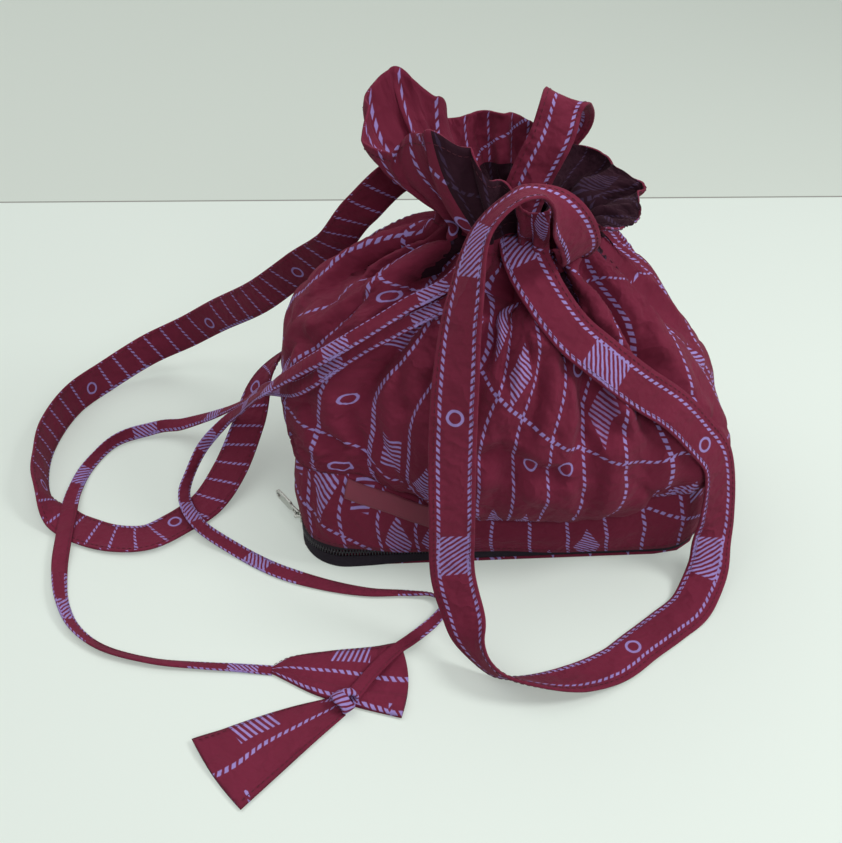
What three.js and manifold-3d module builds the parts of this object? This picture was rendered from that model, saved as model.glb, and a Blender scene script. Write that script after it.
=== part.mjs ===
// Gathered drawstring tote bag of printed cotton with a zipped base pocket.
// Millimetres, +Z up. The origin is the middle of the base panel's underside, the front faces -Y.
import * as THREE from 'three';
import { mergeVertices } from 'three/addons/utils/BufferGeometryUtils.js';
import Module from 'manifold-3d';

// Base and zip
const baseWidth = 290;
const baseDepth = 150;
const baseCorner = 34;
const panelThickness = 2.4;
const fit = 0.3;
const tapeHeight = 6.6;
const tapeThickness = 1.0;
const coilHeight = 2.4;
const coilThickness = 2.4;
const coilGap = 1.2;
const zipEnd = 22;
const stopLength = 3;

// Lower band, floor between the two compartments, label
const bandThickness = 2.2;
const bandBulge = 3;
// Seam between band and body: angle about the middle in degrees, height, and the body's overhang
const seamKnots = [
  { angle: 0, height: 57, overhang: 1 },
  { angle: 90, height: 58, overhang: 1 },
  { angle: 180, height: 70, overhang: 1 },
  { angle: 215, height: 86, overhang: 0.15 },
  { angle: 226, height: 68, overhang: 0.35 },
  { angle: 239, height: 52, overhang: 0.7 },
  { angle: 257, height: 40, overhang: 1 },
  { angle: 295, height: 36, overhang: 1 },
  { angle: 312, height: 39, overhang: 1 },
  { angle: 322, height: 56, overhang: 0.8 },
  { angle: 336, height: 62, overhang: 0.9 },
];
// Where the band hangs in front of the zip: angle, how far it sags, and the share of its standoff there
const zipStandoff = 1.2;
const sagKnots = [
  { angle: 0, sag: 4, cover: 1 },
  { angle: 14, sag: 0, cover: 1 },
  { angle: 22, sag: 0, cover: 0 },
  { angle: 199, sag: 0, cover: 0 },
  { angle: 209, sag: 0, cover: 1 },
  { angle: 228, sag: 8, cover: 1 },
  { angle: 262, sag: 10, cover: 1 },
  { angle: 300, sag: 14, cover: 1 },
  { angle: 322, sag: 14, cover: 1 },
  { angle: 340, sag: 8, cover: 1 },
];
const floorThickness = 1.6;
const pocketHeight = 30;
const labelHeight = 15;
const labelThickness = 0.8;
const labelInset = 38;
const labelLength = 77;
const labelDrop = 3;

// Body, gathered neck and frill
const wall = 2.4;
const neckHeight = 226;
const neckWidth = 96;
const neckDepth = 76;
const neckShift = 9;
const casingHeight = 10;
const bulge = { left: 8, right: 10, front: 26, back: 18 };
// Where each side is widest, as a share of the way from seam to neck, and how full its shoulder is
const widestShare = { left: 0.3, right: 0.13, front: 0.33, back: 0.3 };
const fullness = { left: 3, right: 1.6, front: 2.2, back: 2.5 };
// Pleats: depth as a share of the neck's radius, how many go round, and how far down they reach
const pleatDepth = 0.15;
const pleatCount = 11;
const finePleatCount = 17;
const finePleatShare = 0.35;
const pleatDrift = 0.9;
const pleatReach = 0.5;
const pleatFade = 1.5;
const rimPleatDepth = 0.03;
const casingShare = 0.16;
// How soon the square base turns into the round neck on the way up
const cornerFade = 1.5;
// Frill rim: angle about the neck in degrees, flare past the neck, and rise above the casing
const rimKnots = [
  { angle: 0, flare: 27, rise: 12 },
  { angle: 20, flare: 24, rise: 17 },
  { angle: 55, flare: 24, rise: 22 },
  { angle: 100, flare: 18, rise: 44 },
  { angle: 126, flare: 30, rise: 38 },
  { angle: 143, flare: 22, rise: 60 },
  { angle: 158, flare: 40, rise: 82 },
  { angle: 173, flare: 50, rise: 69 },
  { angle: 186, flare: 55, rise: 54 },
  { angle: 196, flare: 42, rise: 51 },
  { angle: 206, flare: 34, rise: 67 },
  { angle: 216, flare: 32, rise: 74 },
  { angle: 228, flare: 23, rise: 62 },
  { angle: 242, flare: 15, rise: 42 },
  { angle: 265, flare: 8, rise: 22 },
  { angle: 295, flare: 12, rise: 27 },
  { angle: 318, flare: 20, rise: 7 },
  { angle: 334, flare: 23, rise: 3 },
];

// Straps and drawstring
const strapWidth = 28;
const strapThickness = 2.2;
const strapClearance = 2.5;
const shoulderClearance = 5.9;
const cordWidth = 8;
const tailWidth = 58;
const tailThickness = 2.4;
const knotLength = 18;
const knotDepth = 16;
const knotHeight = 15;

// Slider and pull tab
const sliderLength = 11;
const sliderPlace = -32;
const sliderPlate = 1.2;
const sliderLip = 1.0;
const bridgeLength = 8;
const bridgeRise = 4.5;
const bridgeBar = 1.2;
const bridgeWidth = 2;
const pullLength = 30;
const pullWidth = 7.8;
const pullThickness = 1.6;
const pullArm = 1.2;
const pullPin = 0.9;
const pullTurn = 56;
const windowLength = 4.3;
const windowWidth = 3.5;

// Mesh density
const columns = 72;
const bodyLevels = 13;
const frillLevels = 6;
const sideSteps = 3;
const cornerSteps = 8;
const frontSteps = 12;
const gussetSteps = 24;
const labelSteps = 10;
const frontStrapSteps = 84;
const rearStrapSteps = 108;
const cordSteps = 52;
const cordSides = 8;
// Samples under a strap's sewn end, and how far up and down they reach as a share of the cloth
const seatSamples = 16;
const seatReach = 0.2;

const halfWidth = baseWidth / 2;
const halfDepth = baseDepth / 2;
const radians = THREE.MathUtils.degToRad;
const lerp = THREE.MathUtils.lerp;

// Zip heights, from the panel up
const lowerTapeBottom = panelThickness + fit;
const lowerTapeTop = lowerTapeBottom + tapeHeight;
const lowerCoilBottom = lowerTapeTop + fit;
const lowerCoilTop = lowerCoilBottom + coilHeight;
const chainMiddle = lowerCoilTop + coilGap / 2;
const upperCoilBottom = lowerCoilTop + coilGap;
const upperCoilTop = upperCoilBottom + coilHeight;
const upperTapeBottom = upperCoilTop + fit;
const upperTapeTop = upperTapeBottom + tapeHeight;
const bandBottom = upperTapeTop + fit;
const zipInset = coilThickness / 2;
const casingTop = neckHeight + casingHeight;

const cloth = { color: 0x64202f, roughness: 0.85, metalness: 0 };
const lining = { color: 0x4a1624, roughness: 0.9, metalness: 0 };
const zipCloth = { color: 0x221b25, roughness: 0.9, metalness: 0 };
const zipPlastic = { color: 0x2a222c, roughness: 0.5, metalness: 0 };
const silver = { color: 0xb8b8b4, roughness: 0.3, metalness: 0.95 };
const woven = { color: 0x73283a, roughness: 0.8, metalness: 0 };

const bag = new THREE.Group();

function addPiece(name, geometry, look) {
  const mesh = new THREE.Mesh(geometry, new THREE.MeshStandardMaterial(look));
  mesh.name = name;
  bag.add(mesh);
  return mesh;
}

// Closed solid through equal loops of points: round a ring, or along a run with capped ends.
function sweep(loops, isRing) {
  const size = loops[0].length;
  const position = loops.flat().flatMap((point) => point.toArray());
  const index = [];
  const spans = isRing ? loops.length : loops.length - 1;
  for (let i = 0; i < spans; i += 1) {
    const next = (i + 1) % loops.length;
    for (let j = 0; j < size; j += 1) {
      const k = (j + 1) % size;
      const a = i * size + j;
      const b = next * size + j;
      const c = next * size + k;
      const d = i * size + k;
      index.push(a, b, c, a, c, d);
    }
  }
  if (!isRing) {
    const last = (loops.length - 1) * size;
    for (let j = 1; j < size - 1; j += 1) {
      index.push(0, j, j + 1);
      index.push(last, last + j + 1, last + j);
    }
  }
  const geometry = new THREE.BufferGeometry();
  geometry.setAttribute('position', new THREE.Float32BufferAttribute(position, 3));
  geometry.setIndex(signedVolume(position, index) < 0 ? index.reverse() : index);
  geometry.computeVertexNormals();
  return geometry;
}

function signedVolume(position, index) {
  const corner = (i) => new THREE.Vector3().fromArray(position, index[i] * 3);
  let volume = 0;
  for (let i = 0; i < index.length; i += 3) {
    volume += corner(i).dot(corner(i + 1).cross(corner(i + 2)));
  }
  return volume;
}

// Distance from the middle to a rounded rectangle, in the direction of an angle.
function outlineReach(angle, a, b, corner) {
  const dx = Math.abs(Math.cos(angle));
  const dy = Math.abs(Math.sin(angle));
  const flat = Math.min(a / Math.max(dx, 1e-9), b / Math.max(dy, 1e-9));
  const cx = a - corner;
  const cy = b - corner;
  if (flat * dx <= cx || flat * dy <= cy) {
    return flat;
  }
  const along = dx * cx + dy * cy;
  const across = dx * cy - dy * cx;
  return along + Math.sqrt(Math.max(corner * corner - across * across, 0));
}

function basePoint(angle, z, inset) {
  const reach = outlineReach(angle, halfWidth - inset, halfDepth - inset, baseCorner - inset);
  return new THREE.Vector3(reach * Math.cos(angle), reach * Math.sin(angle), z);
}

function ellipseReach(angle, a, b) {
  return 1 / Math.hypot(Math.cos(angle) / a, Math.sin(angle) / b);
}

function smooth(share) {
  const s = THREE.MathUtils.clamp(share, 0, 1);
  return s * s * (3 - 2 * s);
}

// Evenly spaced values from one value over a span.
function evenly(start, span, count) {
  return Array.from({ length: count + 1 }, (_, i) => start + (span * i) / count);
}

const fullTurn = Math.PI * 2;
const columnAngles = evenly(0, fullTurn, columns).slice(0, -1);

// Value at an angle of a ring of knots, eased from each knot to the next.
function knotValue(knots, angle, key) {
  const degrees = THREE.MathUtils.euclideanModulo(THREE.MathUtils.radToDeg(angle), 360);
  const after = knots.findIndex((knot) => knot.angle > degrees);
  const next = after < 0 ? { ...knots[0], angle: 360 } : knots[after];
  const before = knots.at(after < 0 ? -1 : after - 1);
  return lerp(before[key], next[key], smooth((degrees - before.angle) / (next.angle - before.angle)));
}

function seamAt(angle) {
  return knotValue(seamKnots, angle, 'height');
}

// Half size of the body on one side at a height: it swells above the base and closes to the neck.
function sideReach(side, z, seam, overhang, baseHalf, neckHalf) {
  const swell = bulge[side] * overhang;
  const widest = baseHalf + swell;
  const middle = lerp(seam, neckHeight, widestShare[side]);
  if (z < middle) {
    const down = (middle - z) / (middle - seam);
    return widest - swell * down ** 3;
  }
  const up = (z - middle) / (neckHeight - middle);
  return neckHalf + (widest - neckHalf) * (1 - up ** fullness[side]);
}

// Height of the pleats round the neck, from -1 in a valley to 1 on a crest.
function pleat(angle) {
  const broad = Math.sin(pleatCount * angle + pleatDrift * Math.sin(2 * angle));
  const fine = Math.sin(finePleatCount * angle + pleatDrift * Math.sin(3 * angle));
  return lerp(broad, fine, finePleatShare);
}

// Cloth surface of the body: rise runs 0 at the seam, 1 at the neck.
function bodyPoint(angle, rise, fold) {
  const seam = seamAt(angle) + fit;
  const overhang = knotValue(seamKnots, angle, 'overhang');
  const z = lerp(seam, neckHeight, rise);
  const sideways = Math.cos(angle) > 0 ? 'right' : 'left';
  const lengthways = Math.sin(angle) > 0 ? 'back' : 'front';
  const a = sideReach(sideways, z, seam, overhang, halfWidth, neckWidth / 2);
  const b = sideReach(lengthways, z, seam, overhang, halfDepth, neckDepth / 2);
  const square = (1 - rise) ** cornerFade;
  const corner = Math.min(baseCorner * (a / halfWidth), a, b);
  const plain = lerp(ellipseReach(angle, a, b), outlineReach(angle, a, b, corner), square);
  const gather = pleatDepth * smooth((rise - 1 + pleatReach) / pleatReach) ** pleatFade;
  const reach = plain * (1 + gather * fold);
  const shift = neckShift * rise * rise;
  return new THREE.Vector3(shift + reach * Math.cos(angle), reach * Math.sin(angle), z);
}

// Cloth surface of the casing and the frill above it: rise runs 0 at the neck, 1 at the rim.
function frillPoint(angle, rise, fold) {
  const flare = knotValue(rimKnots, angle, 'flare');
  const height = knotValue(rimKnots, angle, 'rise');
  const up = Math.max(0, (rise - casingShare) / (1 - casingShare));
  const z = lerp(neckHeight, casingTop, Math.min(rise / casingShare, 1)) + height * up;
  const neck = ellipseReach(angle, neckWidth / 2, neckDepth / 2);
  const gather = lerp(pleatDepth, rimPleatDepth, up);
  const reach = (neck + flare * Math.sin(up * Math.PI * 0.5)) * (1 + gather * fold);
  return new THREE.Vector3(neckShift + reach * Math.cos(angle), reach * Math.sin(angle), z);
}

// Level runs 0 at the seam, 1 at the neck, 2 at the rim. A fold of 1 touches the crests of all pleats.
function clothPoint(angle, level, fold = pleat(angle)) {
  return level <= 1 ? bodyPoint(angle, level, fold) : frillPoint(angle, level - 1, fold);
}

// Outward direction of the cloth with its pleats left out.
function clothNormal(angle, level) {
  const step = 0.02;
  const low = clothPoint(angle, Math.max(level - step, 0), 0);
  const high = clothPoint(angle, Math.min(level + step, 2), 0);
  const round = clothPoint(angle + step, level, 0).sub(clothPoint(angle - step, level, 0));
  return round.cross(high.sub(low)).normalize();
}

// A place outside the bag, held off the crests of its pleats.
function onCloth(degrees, level, standoff) {
  const angle = radians(degrees);
  return clothPoint(angle, level, 1).addScaledVector(clothNormal(angle, level), standoff);
}

function bagBody() {
  const bodyRises = evenly(0, 1, bodyLevels).map((share) => 1 - (1 - share) ** pleatFade);
  const levels = [...bodyRises.slice(0, -1), ...evenly(1, 1, frillLevels)];
  const loops = columnAngles.map((angle) => {
    const outer = levels.map((level) => clothPoint(angle, level));
    const inner = outer.map((point, i) => {
      return point.clone().addScaledVector(clothNormal(angle, levels[i]), -wall);
    });
    inner[0] = basePoint(angle, outer[0].z, wall);
    return [...outer, ...inner.reverse()];
  });
  return sweep(loops, true);
}

function bandLow(angle) {
  return bandBottom - knotValue(sagKnots, angle, 'sag');
}

// How far the lower band stands out at a height, from its bottom edge to the seam.
function bandOut(angle, z) {
  const low = bandLow(angle);
  const share = (z - low) / (seamAt(angle) - low);
  const cover = (zipStandoff + bandThickness) * knotValue(sagKnots, angle, 'cover');
  return bandBulge * (1 - Math.abs(2 * share - 1)) + cover * (1 - share);
}

function lowerBand() {
  const loops = columnAngles.map((angle) => {
    const low = bandLow(angle);
    const top = seamAt(angle);
    const heights = [low, (low + top) / 2, top];
    const face = heights.map((z) => basePoint(angle, z, -bandOut(angle, z)));
    const rear = heights.map((z) => basePoint(angle, z, bandThickness - bandOut(angle, z)));
    return [...face, ...rear.reverse()];
  });
  return sweep(loops, true);
}

// Upright wall round the base between two heights and two angles.
function wallRun(angles, low, high, inset, thickness) {
  const loops = angles.map((angle) => {
    const at = (z, depth) => basePoint(angle, z, inset + depth);
    return [at(low, 0), at(high, 0), at(high, thickness), at(low, thickness)];
  });
  return sweep(loops, false);
}

// Angles of the zip's run, from the left side round the front to the right side, with a stop at each
// end of the rounded corners, so that the sides stay straight.
const zipEndAngle = Math.atan2(zipEnd, halfWidth);
const sideEndAngle = Math.atan2(halfDepth - baseCorner, halfWidth);
const frontEndAngle = Math.atan2(halfDepth, halfWidth - baseCorner);
const zipTurns = [
  { angle: Math.PI - zipEndAngle, steps: sideSteps },
  { angle: Math.PI + sideEndAngle, steps: cornerSteps },
  { angle: Math.PI + frontEndAngle, steps: frontSteps },
  { angle: fullTurn - frontEndAngle, steps: cornerSteps },
  { angle: fullTurn - sideEndAngle, steps: sideSteps },
  { angle: fullTurn + zipEndAngle, steps: 0 },
];
const zipAngles = zipTurns.flatMap(({ angle, steps }, i) => {
  const next = zipTurns[Math.min(i + 1, zipTurns.length - 1)].angle;
  return steps > 0 ? evenly(angle, next - angle, steps).slice(0, -1) : [angle];
});

function zipPieces() {
  const tapeInset = zipInset - tapeThickness / 2;
  const tape = (low, high) => wallRun(zipAngles, low, high, tapeInset, tapeThickness);
  const coil = (low, high) => wallRun(zipAngles, low, high, 0, coilThickness);
  addPiece('zip_tape_lower', tape(lowerTapeBottom, lowerTapeTop), zipCloth);
  addPiece('zip_tape_upper', tape(upperTapeBottom, upperTapeTop), zipCloth);
  addPiece('zip_coil_lower', coil(lowerCoilBottom, lowerCoilTop), zipPlastic);
  addPiece('zip_coil_upper', coil(upperCoilBottom, upperCoilTop), zipPlastic);
  const height = upperCoilTop - lowerCoilBottom;
  for (const [name, side] of [['zip_stop_left', -1], ['zip_stop_right', 1]]) {
    const stop = addPiece(name, new THREE.BoxGeometry(coilThickness, stopLength, height), silver);
    stop.position.set(side * (halfWidth - zipInset), zipEnd + fit + stopLength / 2, chainMiddle);
  }
}

function rearGusset() {
  const behind = Math.atan2(zipEnd + 2 * fit + stopLength, halfWidth - fit - bandThickness);
  const angles = evenly(behind, Math.PI - 2 * behind, gussetSteps);
  return wallRun(angles, lowerTapeBottom, upperTapeTop, fit, bandThickness);
}

// Flat plate in the base's outline, set in from it by an amount that may change round it.
function plate(insetAt, low, thickness) {
  const outline = new THREE.Shape(columnAngles.map((angle) => {
    const point = basePoint(angle, 0, insetAt(angle));
    return new THREE.Vector2(point.x, point.y);
  }));
  const geometry = new THREE.ExtrudeGeometry(outline, { depth: thickness, bevelEnabled: false });
  return geometry.translate(0, 0, low);
}

// The floor's edge meets the inside of the swelling band.
function floorInset(angle) {
  const out = Math.min(bandOut(angle, pocketHeight), bandOut(angle, pocketHeight + floorThickness));
  return bandThickness + 2 * fit - out;
}

function label() {
  const left = labelInset - baseWidth / 2;
  const start = Math.atan2(-baseDepth / 2, left);
  const span = Math.atan2(-baseDepth / 2, left + labelLength) - start;
  const angles = evenly(start, span, labelSteps);
  const lift = fit + labelThickness;
  const loops = angles.map((angle) => {
    const top = seamAt(angle) - labelDrop;
    const bottom = top - labelHeight;
    const widest = THREE.MathUtils.clamp((bandLow(angle) + seamAt(angle)) / 2, bottom + fit, top - fit);
    const heights = [bottom, widest, top];
    const face = heights.map((z) => basePoint(angle, z, -bandOut(angle, z) - lift));
    const back = heights.map((z) => basePoint(angle, z, -bandOut(angle, z) - fit));
    return [...face, ...back.reverse()];
  });
  return sweep(loops, false);
}

// Flat ribbon through stations, each with a place and the direction that its outer face looks in.
function ribbon(stations, steps) {
  const path = new THREE.CatmullRomCurve3(stations.map((station) => station.place));
  const facing = new THREE.CatmullRomCurve3(stations.map((station) => station.out));
  const loops = Array.from({ length: steps + 1 }, (_, i) => {
    const share = i / steps;
    const along = path.getTangent(share);
    const across = facing.getPoint(share).cross(along).normalize();
    const out = along.clone().cross(across);
    const corner = (side, face) => path.getPoint(share)
      .addScaledVector(across, (side * strapWidth) / 2)
      .addScaledVector(out, (face * strapThickness) / 2);
    return [corner(-1, -1), corner(1, -1), corner(1, 1), corner(-1, 1)];
  });
  return sweep(loops, false);
}

function station(place, out) {
  return { place: new THREE.Vector3(...place), out: new THREE.Vector3(...out) };
}

// A strap resting on the floor: how its outer face looks decides how high its middle line lies.
function floorStation([x, y], out) {
  const facing = new THREE.Vector3(...out).normalize();
  const lean = Math.sqrt(1 - facing.z ** 2);
  const z = fit + (lean * strapWidth + Math.abs(facing.z) * strapThickness) / 2;
  return station([x, y, z], out);
}

// A strap lying over the bag. With a face of -1 its outer face is turned to the cloth.
function clothStation(degrees, level, face = 1, clearance = strapClearance) {
  const out = clothNormal(radians(degrees), level).multiplyScalar(face);
  return { place: onCloth(degrees, level, clearance + strapThickness / 2), out };
}

// A sewn-on end: its back lies against the highest pleat within half a strap's width.
function sewnStation(degrees, level, face = 1) {
  const angle = radians(degrees);
  const out = clothNormal(angle, level);
  const middle = clothPoint(angle, level, 0);
  const spread = strapWidth / 2 / ellipseReach(angle, neckWidth / 2, neckDepth / 2);
  let proud = 0;
  for (const side of evenly(angle - spread, 2 * spread, seatSamples)) {
    for (const height of evenly(level - seatReach, 2 * seatReach, seatSamples)) {
      const offset = clothPoint(side, height).sub(middle);
      const rise = offset.dot(out);
      const apart = offset.addScaledVector(out, -rise).length();
      proud = apart < strapWidth / 2 ? Math.max(proud, rise) : proud;
    }
  }
  const place = middle.addScaledVector(out, proud + fit + strapThickness / 2);
  return { place, out: out.multiplyScalar(face) };
}

const left = -halfWidth;
const right = halfWidth;
const front = -halfDepth;
const back = halfDepth;
const neckFront = -neckDepth / 2;

// From its end at the casing's right front, over in an arch, down to the floor, round and up to the casing.
function frontStrap() {
  const stations = [
    sewnStation(304, 1.06),
    station([neckShift + 19, neckFront - 24, casingTop + 20], [0.25, -0.9, 0.35]),
    station([neckShift - 8, neckFront - 34, casingTop + 47], [0, 0.2, 0.98]),
    station([neckShift - 35, neckFront - 44, casingTop + 31], [-0.88, -0.1, 0.46]),
    station([neckShift - 47, front - 29, neckHeight + 6], [-0.72, -0.6, 0.3]),
    station([neckShift - 52, front - 47, neckHeight - 32], [-0.4, -0.9, 0.2]),
    station([neckShift - 54, front - 59, neckHeight - 76], [-0.1, -1, 0.15]),
    station([neckShift - 54, front - 67, neckHeight - 121], [0, -1, 0.1]),
    station([neckShift - 53, front - 72, 62], [0, -1, 0.1]),
    station([neckShift - 47, front - 81, 37], [-0.15, -0.95, 0.1]),
    station([neckShift - 41, front - 97, 22], [-0.3, -0.9, -0.3]),
    floorStation([neckShift - 28, front - 110], [-0.3, -0.8, -0.5]),
    floorStation([neckShift - 3, front - 115], [-0.1, -0.6, -0.8]),
    floorStation([32, front - 111], [0, -0.25, -0.97]),
    floorStation([59, front - 99], [0, -0.05, -1]),
    floorStation([right - 66, front - 84], [0, -0.05, -1]),
    floorStation([right - 44, front - 68], [0.02, 0.05, -1]),
    floorStation([right - 26, front - 54], [0.03, 0.1, -1]),
    station([right - 14, front - 38, 8], [0.1, 0.4, -0.9]),
    station([right - 8, front - 28, 16], [0.05, 0.65, -0.75]),
    station([right - 6, front - 20, 28], [-0.05, 0.85, -0.5]),
    station([right - 4, front - 14, 48], [-0.3, 0.92, -0.2]),
    clothStation(329, 0.2, -1),
    clothStation(326, 0.33, -1),
    clothStation(321, 0.46, -1),
    clothStation(313, 0.6, -1),
    clothStation(301, 0.72, -1),
    clothStation(288, 0.82, -1),
    clothStation(276, 0.92, -1),
    clothStation(265, 1.02, -1),
    sewnStation(260, 1.06, -1),
  ];
  return ribbon(stations, frontStrapSteps);
}

// From the casing's left rear, out and down to the floor, round, up the bag's back and over the rim.
function rearStrap() {
  const stations = [
    sewnStation(135, 1.22),
    station([left + 84, back - 22, casingTop + 4], [-0.3, 0.9, 0]),
    station([left + 50, back - 14, casingTop - 28], [-0.35, 0.85, -0.3]),
    station([left + 27, back + 2, 172], [-0.35, 0.8, -0.45]),
    station([left, back + 24, 142], [-0.35, 0.8, -0.45]),
    station([left - 35, back + 50, 103], [-0.3, 0.8, -0.5]),
    station([left - 73, back + 80, 68], [-0.3, 0.8, -0.5]),
    station([left - 105, back + 98, 41], [-0.3, 0.85, -0.4]),
    station([left - 140, back + 98, 24], [-0.45, 0.85, -0.3]),
    floorStation([left - 173, back + 76], [-0.65, 0.7, -0.25]),
    floorStation([left - 196, back + 42], [-0.85, 0.45, -0.25]),
    floorStation([left - 206, back - 3], [-0.95, 0.1, -0.25]),
    floorStation([left - 204, back - 39], [-0.95, -0.2, -0.2]),
    floorStation([left - 196, back - 71], [-0.8, -0.5, -0.35]),
    floorStation([left - 178, front + 56], [-0.1, -0.15, -1]),
    floorStation([left - 158, front + 43], [0, -0.05, -1]),
    floorStation([left - 135, front + 34], [0, -0.05, -1]),
    floorStation([left - 113, front + 34], [0, -0.05, -1]),
    floorStation([left - 93, front + 48], [0, -0.05, -1]),
    floorStation([left - 73, front + 68], [0.05, 0.15, -1]),
    station([left - 57, back - 55, 14], [0.1, 0.35, -0.9]),
    station([left - 44, back - 22, 32], [0.25, 0.4, -0.85]),
    station([left - 32, back + 5, 56], [0.5, 0.1, -0.75]),
    clothStation(148, 0.2, -1, shoulderClearance),
    clothStation(138, 0.38, -1, shoulderClearance),
    clothStation(126, 0.56, -1),
    clothStation(112, 0.72, -1),
    clothStation(97, 0.86, -1),
    clothStation(82, 0.97, -1, shoulderClearance),
    station([neckShift + 20, back - 5, casingTop + 3], [-0.1, -1, -0.3]),
    station([neckShift + 39, back - 5, casingTop + 28], [-0.2, -1, -0.2]),
    station([neckShift + 33, back - 28, casingTop + 49], [-0.15, -0.75, -0.65]),
    station([neckShift + 25, back - 45, casingTop + 60], [-0.4, 0, -0.92]),
    station([neckShift + 18, back - 56, casingTop + 42], [0.1, 0.95, -0.3]),
    station([neckShift + 6, back - 60, casingTop + 16], [0.1, 1, -0.1]),
    station([neckShift - 3, back - 62, neckHeight - 4], [0.1, 1, 0]),
  ];
  return ribbon(stations, rearStrapSteps);
}

// Round cord through its route; the section is a polygon of the cord's full width.
function cord(route) {
  const section = new THREE.Shape(Array.from({ length: cordSides }, (_, i) => {
    const turn = ((i + 0.5) / cordSides) * fullTurn;
    return new THREE.Vector2(Math.cos(turn), Math.sin(turn)).multiplyScalar(cordWidth / 2);
  }));
  const extrudePath = new THREE.CatmullRomCurve3(route);
  return new THREE.ExtrudeGeometry(section, { extrudePath, steps: cordSteps, bevelEnabled: false });
}

const cordStandoff = cordWidth / 2 + 3 * fit;
const lying = cordWidth / 2 + fit;

function freePoints(points) {
  return points.map((point) => new THREE.Vector3(...point));
}

function cordOnCloth(places) {
  return places.map(([degrees, level, lift = 0]) => onCloth(degrees, level, cordStandoff + lift));
}

// The first strand lies under the second on the bag, and passes behind it where they leave the bag.
function leftLegRoute() {
  return [
    ...cordOnCloth([
      [239.5, 0.925], [232, 0.875], [225, 0.825], [219.5, 0.765], [215.5, 0.705], [212, 0.655], [207, 0.555],
      [203.5, 0.465], [200, 0.405],
    ]),
    ...freePoints([
      [-149, -37, 129], [-163, -4, 106], [-176, 23, 82], [-192, 44, 58], [-216, 64, 35], [-241, 78, 18],
      [-273, 82, 7], [-300, 70, lying], [-316, 42, lying], [-321, 12, 6], [-319, -20, 9], [-317, -44, 9],
      [-314, -72, 5.5], [-306, -102, lying], [-293, -125, lying], [-272, -143, lying], [-239, -155, lying],
      [-206, -160, lying], [-180, -163, lying], [-159.8, -166, lying],
    ]),
  ];
}

function rightLegRoute() {
  return [
    ...cordOnCloth([
      [233, 0.985], [228.5, 0.945, 2.5], [225.5, 0.9, 4], [221.5, 0.865, 4.5], [217, 0.815, 4.8],
      [211.5, 0.72, 5.2], [206.5, 0.625, 5.4], [203, 0.555, 5], [200, 0.495, 4.5],
    ]),
    ...freePoints([
      [-151, -45, 141], [-163, -33, 124], [-175, -8, 99], [-188, 18, 71], [-203, 34, 50], [-223, 33, 28],
      [-232, 17, 17], [-235, 0, 12], [-231, -17, 12], [-219, -36, 9], [-190, -58, lying], [-160, -79, lying],
      [-131, -92, lying], [-97, -102, lying], [-70, -105, lying], [-53, -109, lying], [-46, -118, lying],
      [-53, -130, lying], [-66, -144, 6.5], [-81, -157, 8], [-96, -174, 8.5], [-108.7, -191.5, 8.2],
    ]),
  ];
}

// Flat tail along a spine of places with shares of its full width, lying just clear of the floor.
function tail(spine) {
  const path = spine.map(([x, y]) => new THREE.Vector3(x, y, 0));
  const loops = spine.map(([, , share], i) => {
    const half = (share * tailWidth) / 2;
    const from = path[Math.max(i - 1, 0)];
    const to = path[Math.min(i + 1, path.length - 1)];
    const along = to.clone().sub(from).normalize();
    const across = new THREE.Vector3(-along.y, along.x, 0).multiplyScalar(half);
    const corner = (side, z) => path[i].clone().addScaledVector(across, side).setZ(z);
    const top = fit + tailThickness;
    return [corner(-1, fit), corner(1, fit), corner(1, top), corner(-1, top)];
  });
  return sweep(loops, false);
}

function drawstring() {
  addPiece('drawstring_left_leg', cord(leftLegRoute()), cloth);
  addPiece('drawstring_right_leg', cord(rightLegRoute()), cloth);
  const upperTail = [
    [-159.4, -166, 0.14], [-145, -169, 0.28], [-125, -172.5, 0.5], [-109, -173, 0.6], [-78, -178.5, 0.97],
  ];
  const lowerTail = [[-119.7, -201.6, 0.26], [-136, -210, 0.45], [-160, -223, 0.69], [-189, -240.5, 0.97]];
  addPiece('upper_tail', tail(upperTail), cloth);
  addPiece('lower_tail', tail(lowerTail), cloth);
  const knot = new THREE.SphereGeometry(0.5, 16, 10).scale(knotLength, knotDepth, knotHeight);
  addPiece('drawstring_knot', knot, cloth).position.set(-113, -199, fit + knotHeight / 2);
}

const wasm = await Module();
wasm.setup();

function toSolid(geometry) {
  const bare = geometry.index ? geometry.toNonIndexed() : geometry.clone();
  bare.deleteAttribute('normal');
  bare.deleteAttribute('uv');
  const merged = mergeVertices(bare);
  return new wasm.Manifold(new wasm.Mesh({
    numProp: 3,
    vertProperties: new Float32Array(merged.attributes.position.array),
    triVerts: new Uint32Array(merged.index.array),
  }));
}

function joined(a, b) {
  const mesh = toSolid(a).add(toSolid(b)).getMesh();
  const geometry = new THREE.BufferGeometry();
  geometry.setAttribute('position', new THREE.BufferAttribute(mesh.vertProperties, 3));
  geometry.setIndex(new THREE.BufferAttribute(mesh.triVerts, 1));
  geometry.computeVertexNormals();
  return geometry;
}

// The slider's own frame: +X points out of the bag, +Y along the zip towards the front, +Z up.
const slot = coilThickness / 2 + fit;
const sliderFace = slot + sliderPlate;
const sliderHalfHeight = coilGap / 2 + coilHeight + fit + sliderLip;
const pullAxisOut = sliderFace + (bridgeRise - bridgeBar) / 2;

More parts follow.
